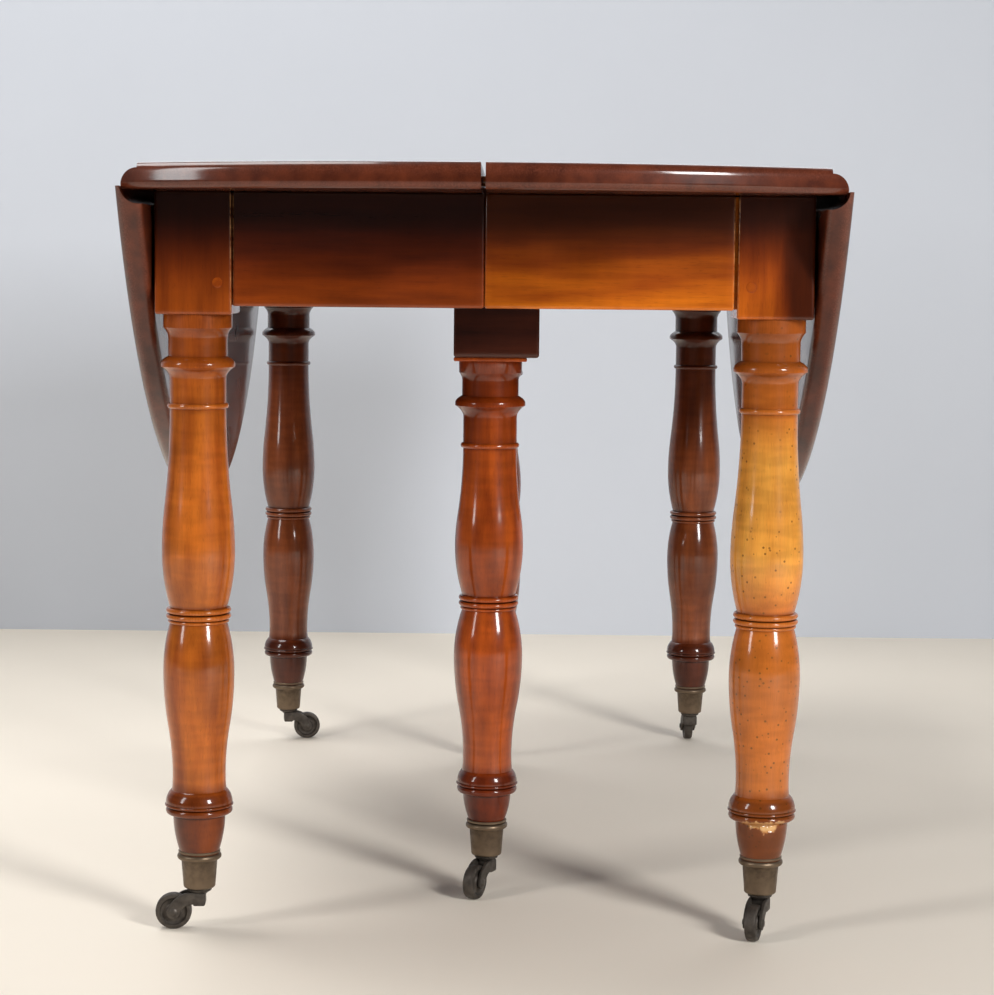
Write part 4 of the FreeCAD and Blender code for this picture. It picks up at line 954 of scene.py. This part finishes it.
class TABLE_OT_casters(Operator):
    """Fit brass cups, horned forks and dished wheels to the six feet"""

    bl_idname = "table.casters"
    bl_label = "Casters"

    def execute(self, context):
        brass, worn = finish("tarnished_brass"), finish("dull_wheel_brass")
        cup, fork, wheel = self.cup(), self.fork(), self.wheel()
        cups = {}
        for name, (degrees, carrier) in CASTERS.items():
            low, high = span(f"leg_{name}")
            x, y = ((low + high) / 2)[:2]
            cups.setdefault(carrier, []).append((standing(cup[0], x, y), *cup[1:]))
            parts = [(standing(points, x, y, degrees), quads) for points, quads in fork]
            make_piece(f"fork_{name}", parts, worn, f"swivel_{name}", [f"caster_fork_{name}"])
            parts = [(standing(wheel[0], x, y, degrees), wheel[1])]
            make_piece(f"wheel_{name}", parts, worn, f"wheel_{name}", [f"caster_wheel_{name}"])
        for carrier, parts in cups.items():
            group = carrier.split("_")[0]
            make_piece(f"cups_{group}", parts, brass, carrier, [f"caster_cups_{group}"])
        return {"FINISHED"}

    @staticmethod
    def cup():
        """Tapered ferrule, rounded under, with a half-round ring below a plain lip: r widens evenly up to the
        ring."""
        low, high = span("caster_cups_centre")
        level, top = low[2], high[2]
        curve = np.linspace(0, np.pi / 2, 6)
        foot = np.stack([13.3 * MM + 2.2 * MM * np.sin(curve), level + 2.2 * MM * (1 - np.cos(curve))], 1)
        lip = [(19.6, 2.6), (20.3, 2), (20.3, 0.6), (19.7, 0), (0, 0)]
        runs = [
            [(0, level)],
            foot,
            [(17.4 * MM, top - 10.5 * MM)],
            bead(18.0 * MM, top - 9.5 * MM, 6.5 * MM, 3.4 * MM),
            [(radius * MM, top - drop * MM) for radius, drop in lip],
        ]
        profile = np.concatenate([np.array(run, float) for run in runs])
        points, quads = lathe(profile[:, 0], profile[:, 1], CUP_TURNS)
        depth, proud = hollows(profile, 2.5 * MM)
        grime = np.repeat(np.clip((depth - 0.6 * MM) / (2.5 * MM), 0, 0.7), CUP_TURNS)
        wear = np.repeat(np.clip(proud / (1.2 * MM), 0, 0.8), CUP_TURNS)
        return points, quads, {"grime": grime, "wear": wear}

    @staticmethod
    def wheel():
        """Dished wheel: a profile over half the width, thick at hub and rim and thin between, mirrored and
        turned about the axle."""
        caster = settings().casters
        half, rim = caster.wheel_width / 2, caster.wheel
        radius = np.array([0, 5.2, 6.4, 7.2, 8.5, 11.5, 12.6, 13.4, 15.4, 16.9, rim / MM]) * MM
        width = np.array([1, 1, 0.95, 0.7, 0.6, 0.6, 0.75, 0.97, 1, 0.9, 0.6]) * half
        profile_radius = np.concatenate([radius, radius[::-1]])
        profile_level = np.concatenate([-width, width[::-1]])
        points, quads = lathe(profile_radius, profile_level, WHEEL_TURNS)
        return along_axle(points, caster.trail, rim), quads

    @staticmethod
    def fork():
        """Two cheeks carried along an arched path from the crown over to the axle, as wide as the eye and
        closing in a half circle round it, with the crown's block, the neck and pintle above it and the
        riveted axle."""
        caster = settings().casters
        share = np.linspace(0, 1, 22)[:, None]
        start, bend, end = np.array([[-2.5, 29.5], [17.5, 35.5], [caster.trail / MM, caster.wheel / MM]]) * MM
        path = (1 - share) ** 2 * start + 2 * (1 - share) * share * bend + share**2 * end
        way = (end - bend) / np.linalg.norm(end - bend)
        cap = np.linspace(0, np.pi / 2, 9)[1:, None]
        path = np.concatenate([path, end + np.sin(cap) * way * caster.eye])
        wide = np.concatenate([5.6 * MM + (caster.eye - 5.6 * MM) * share, np.cos(cap) * caster.eye])
        slope = 2 * (1 - share) * (bend - start) + 2 * share * (end - bend)
        tangent = np.concatenate([slope, np.repeat(way[None], len(cap), 0)])
        tangent /= np.linalg.norm(tangent, axis=1, keepdims=True)
        across = np.stack([-tangent[:, 1], tangent[:, 0]], axis=1)
        round_off = np.linspace(0, 2 * np.pi, CHEEK_TURNS, endpoint=False)
        corner = np.stack([np.cos(round_off), np.sin(round_off)], axis=1)
        corner = np.sign(corner) * np.abs(corner) ** 0.35
        flat = path[:, None, :] + across[:, None, :] * (wide * corner[None, :, 0])[..., None]
        shells = []
        middle, thick = (caster.cheek_in + caster.cheek_out) / 2, (caster.cheek_out - caster.cheek_in) / 2
        for side in (-1, 1):
            depth = np.repeat((side * middle + thick * corner[:, 1])[None, :], len(path), axis=0)
            grid = np.stack([flat[..., 0], depth, flat[..., 1]], axis=-1)
            close = np.repeat(grid[:1].mean(axis=1, keepdims=True), CHEEK_TURNS, axis=1)
            grid = np.concatenate([close, grid])
            shells.append((grid.reshape(-1, 3), grid_quads(len(grid), CHEEK_TURNS)))
        reach = caster.cheek_out - 0.1 * MM
        shells.append(soft_box((-6 * MM, -reach, 23.5 * MM), (6 * MM, reach, 36.5 * MM), 2 * MM, 5))
        crown = caster.crown / MM
        neck = [(0, 35), (7.5, 35), (8.6, 36.2), (11.5, 38), (12.2, 39.6)]
        neck = np.array(neck + [(11.6, crown), (4, crown), (4, 46), (0, 46)]) * MM
        shells.append(lathe(neck[:, 0], neck[:, 1], NECK_TURNS))
        reach = caster.cheek_out / MM
        rivet = [(0, reach + 1.4), (2.6, reach + 1.2), (4.2, reach + 0.1), (2.4, reach)]
        axle = np.array([(radius, -level) for radius, level in rivet] + rivet[::-1]) * MM
        points, quads = lathe(axle[:, 0], axle[:, 1], AXLE_TURNS)
        shells.append((along_axle(points, caster.trail, caster.wheel), quads))
        return shells


class TABLE_OT_pegs(Operator):
    """Drive the tenon pegs, their heads a little proud of the blocks"""

    bl_idname = "table.pegs"
    bl_label = "Pegs"

    def execute(self, context):
        for side, sign in SIDES.items():
            heads = []
            for end, way in ENDS.items():
                low, high = span(f"leg_{end}_{side}")
                middle = (low + high) / 2
                half = (high[0] - low[0]) / 2
                x, y = middle[0] - sign * PEG_INSET, middle[1] - way * PEG_INSET
                dome = np.array([(0, -6), (5, -6), (5, 0.05), (4.6, 0.12), (2.2, 0.16), (0, 0.18)]) * MM
                points, quads = lathe(dome[:, 0], dome[:, 1], PEG_TURNS)
                a, b, out = points.T
                front = np.stack([x - way * a, middle[1] + way * (half + out), PEG_LEVEL + b], axis=1)
                outer = np.stack([middle[0] + sign * (half + out), y + sign * a, PEG_LEVEL + b], axis=1)
                marks = {"grime": np.repeat(np.array([0, 0, 0.55, 0.12, 0.05, 0.05]), PEG_TURNS)}
                heads += [(front, quads, marks), (outer, quads, marks)]
            wood = finish("end_grain_peg")
            make_piece(f"pegs_{side}", heads, wood, f"{side}_half", [f"tenon_pegs_{side}"])
        return {"FINISHED"}


class TABLE_OT_hinges(Operator):
    """Let the iron leaf hinges in under the top and the leaves, each flap with its screws"""

    bl_idname = "table.hinges"
    bl_label = "Hinges"

    def execute(self, context):
        low, high = span("hinge_top_flaps_right")
        underside = span("top_right")[0][2]
        half = high[1] - HINGE_PLACES[2]
        leaf_low, _ = span("hinge_leaf_flaps_right")
        reach = HINGE_LEVEL - leaf_low[2]
        iron = finish("dark_iron")
        for kind, inner, outer, carrier in (
            ("top", low[0], HINGE_AT - TOP_FLAP_GAP, "half"),
            ("leaf", HINGE_AT + LEAF_FLAP_GAP, HINGE_AT + reach, "leaf"),
        ):
            shells = []
            for along in HINGE_PLACES:
                near = (inner, along - half, underside - FLAP_PROUD)
                far = (outer, along + half, underside + FLAP_DEPTH)
                shells.append(soft_box(near, far, 0.4 * MM, 6))
                shells += self.screws(inner, outer, along, half, underside - FLAP_PROUD)
            if kind == "leaf":
                shells = [(hang(points), *rest) for points, *rest in shells]
            for side, sign in SIDES.items():
                parts = [(half_turn(points, sign), *rest) for points, *rest in shells]
                node, body = f"hinge_{kind}_flaps_{side}", f"{side}_{carrier}"
                make_piece(f"hinge_plates_{kind}_{side}", parts, iron, body, [node])
        return {"FINISHED"}

    @staticmethod
    def screws(inner, outer, along, half, face):
        """Three screw heads in a flap: a low dome, r against height, turned about its axis, dark-rimmed."""
        dome = np.array([(0, 1.0), (3.1, 1.0), (3.1, 0), (2.6, -0.25), (1.2, -0.35), (0, -0.35)])[::-1] * MM
        made = []
        for across, share in ((0.3, -0.62), (0.7, 0), (0.3, 0.62)):
            points, quads = lathe(dome[:, 0], dome[:, 1], SCREW_TURNS)
            points = points + (inner + (outer - inner) * across, along + half * share, face)
            made.append((points, quads, {"grime": np.repeat(np.array([0, 0, 0, 0.9, 0.9, 0]), SCREW_TURNS)}))
        return made


# Corners of the plain sheets of the stage, in metres.
FLOOR = [(-6, -6, 0), (6, -6, 0), (6, 6, 0), (-6, 6, 0)]
BACKDROP = [(-6, 1.4, 0), (6, 1.4, 0), (6, 1.4, 5), (-6, 1.4, 5)]
# Colour and strength of the light that the room gives from all sides.
ROOM_TONE = "#e9ecef"
ROOM_LIGHT = 0.07
# Lamps: watts, width and height, place, and where each is aimed.
LAMPS = {
    "front": (80, (0.6, 1.1), (1.9, -2.7, 1.5), (0.1, -0.3, 0.4)),
    "window": (34, (0.5, 1.8), (-2.6, -2.0, 1.6), (-0.1, -0.2, 0.6)),
    "ceiling": (40, (1.3, 1.3), (-1.1, 0.1, 2.8), (-0.1, 0, 0.2)),
    "back": (14, (2.6, 0.9), (0.3, 1.3, 1.65), (0.3, 0, 1.6)),
}
# The photo's view: sensor width in millimetres, focal length and picture width in pixels, the camera's
# place in millimetres, and its yaw, pitch and roll in radians.
SENSOR = 36
FOCAL = 2419.13
PICTURE = 994
VIEW_FROM = (26.39, -2772.44, 652.49)
VIEW_TURN = (-0.0056, -0.0988, 0.0092)


class TABLE_OT_stage(Operator):
    """Lay the plain floor and backdrop, hang the lamps and set the camera at the photo's view"""

    bl_idname = "table.stage"
    bl_label = "Stage"

    def execute(self, context):
        scene = context.scene
        scene.view_settings.view_transform = "Standard"
        floor = self.sheet("floor", FLOOR, tone("floor"), 0.7)
        wall = self.sheet("backdrop", BACKDROP, tone("wall"), 0.9)
        world = bpy.data.worlds.new("room")
        world.use_nodes = True
        room = world.node_tree.nodes["Background"]
        room.inputs["Color"].default_value = (*linear(ROOM_TONE), 1)
        room.inputs["Strength"].default_value = ROOM_LIGHT
        scene.world = world
        for name, (power, size, place, aim) in LAMPS.items():
            lamp = bpy.data.lights.new(name, "AREA")
            lamp.shape = "RECTANGLE"
            lamp.energy = power
            lamp.size, lamp.size_y = size
            hung = bpy.data.objects.new(name, lamp)
            back = np.array(place, float) - np.array(aim, float)
            back /= np.linalg.norm(back)
            right = np.cross((0, 0, 1), back)
            right /= np.linalg.norm(right)
            self.face(hung, right, np.cross(back, right), back, place)
            scene.collection.objects.link(hung)
        self.camera(scene)
        return {"FINISHED"}

    @staticmethod
    def face(item, right, up, back, place):
        """Stands a lamp or camera at a place, given the three ways it faces."""
        matrix = np.eye(4)
        matrix[:3, :] = np.stack([right, up, back, place], axis=1)
        item.matrix_world = Matrix(matrix.tolist())

    def camera(self, scene):
        """The photo's view: from in front, just below the top, turned and rolled a little."""
        data = bpy.data.cameras.new("view")
        data.sensor_fit = "HORIZONTAL"
        data.sensor_width = SENSOR
        data.lens = FOCAL * SENSOR / PICTURE
        data.clip_end = 60
        yaw, pitch, roll = VIEW_TURN
        level = math.cos(pitch)
        way = np.array([math.sin(yaw) * level, math.cos(yaw) * level, math.sin(pitch)])
        right = np.array([math.cos(yaw), -math.sin(yaw), 0])
        up = np.cross(right, way)
        tilted = math.cos(roll) * right + math.sin(roll) * up
        view = bpy.data.objects.new("view", data)
        self.face(view, tilted, np.cross(-way, tilted), -way, np.array(VIEW_FROM) * MM)
        scene.collection.objects.link(view)
        scene.camera = view

    @staticmethod
    def sheet(name, corners, paint, rough):
        """A plain flat sheet of stage, seen from its front only."""
        mesh = bpy.data.meshes.new(name)
        mesh.from_pydata(corners, [], [(0, 1, 2, 3)])
        tree, shader = blank(f"matt_{name}")
        place = add(tree, "TexCoord").outputs["Object"]
        # Faint unevenness some 300 mm across, as in a painted sheet.
        cloud = add(tree, "TexNoise", inputs={0: place, "Scale": 1 / 0.3, "Detail": 2.0}).outputs["Fac"]
        low, high = tuple(0.97 * part for part in paint), tuple(min(1.0, 1.02 * part) for part in paint)
        face = add(tree, "Mix", RGB, {0: cloud, 6: (*low, 1), 7: (*high, 1)}).outputs[2]
        tree.links.new(face, shader.inputs["Base Color"])
        shader.inputs["Roughness"].default_value = rough
        behind = add(tree, "NewGeometry").outputs["Backfacing"]
        clear = add(tree, "BsdfTransparent").outputs[0]
        seen = add(tree, "MixShader", inputs={0: behind, 1: shader.outputs[0], 2: clear}).outputs[0]
        tree.links.new(seen, tree.nodes["Material Output"].inputs["Surface"])
        mesh.materials.append(finish(f"matt_{name}"))
        laid = bpy.data.objects.new(name, mesh)
        bpy.context.scene.collection.objects.link(laid)
        return laid


STEPS = (
    TABLE_OT_finishes,
    TABLE_OT_legs,
    TABLE_OT_boards,
    TABLE_OT_aprons,
    TABLE_OT_casters,
    TABLE_OT_pegs,
    TABLE_OT_hinges,
    TABLE_OT_stage,
)


class TABLE_PT_steps(Panel):
    """Lists the table's steps"""

    bl_label = "Table"
    bl_space_type = "VIEW_3D"
    bl_region_type = "UI"
    bl_category = "Table"

    def draw(self, context):
        for step in STEPS:
            self.layout.operator(step.bl_idname)


CLASSES = (
    CornerLegSizes,
    CentreLegSizes,
    BoardSizes,
    CasterSizes,
    TableColours,
    TableSettings,
    *STEPS,
    TABLE_PT_steps,
)


def register():
    for made in CLASSES:
        bpy.utils.register_class(made)
    bpy.types.Scene.table_settings = PointerProperty(type=TableSettings)


def unregister():
    del bpy.types.Scene.table_settings
    for made in reversed(CLASSES):
        bpy.utils.unregister_class(made)


def main():
    register()
    bpy.ops.table.finishes()
    bpy.ops.table.legs()
    bpy.ops.table.boards()
    bpy.ops.table.aprons()
    bpy.ops.table.casters()
    bpy.ops.table.pegs()
    bpy.ops.table.hinges()
    bpy.ops.table.stage()


if __name__ == "__main__":
    main()
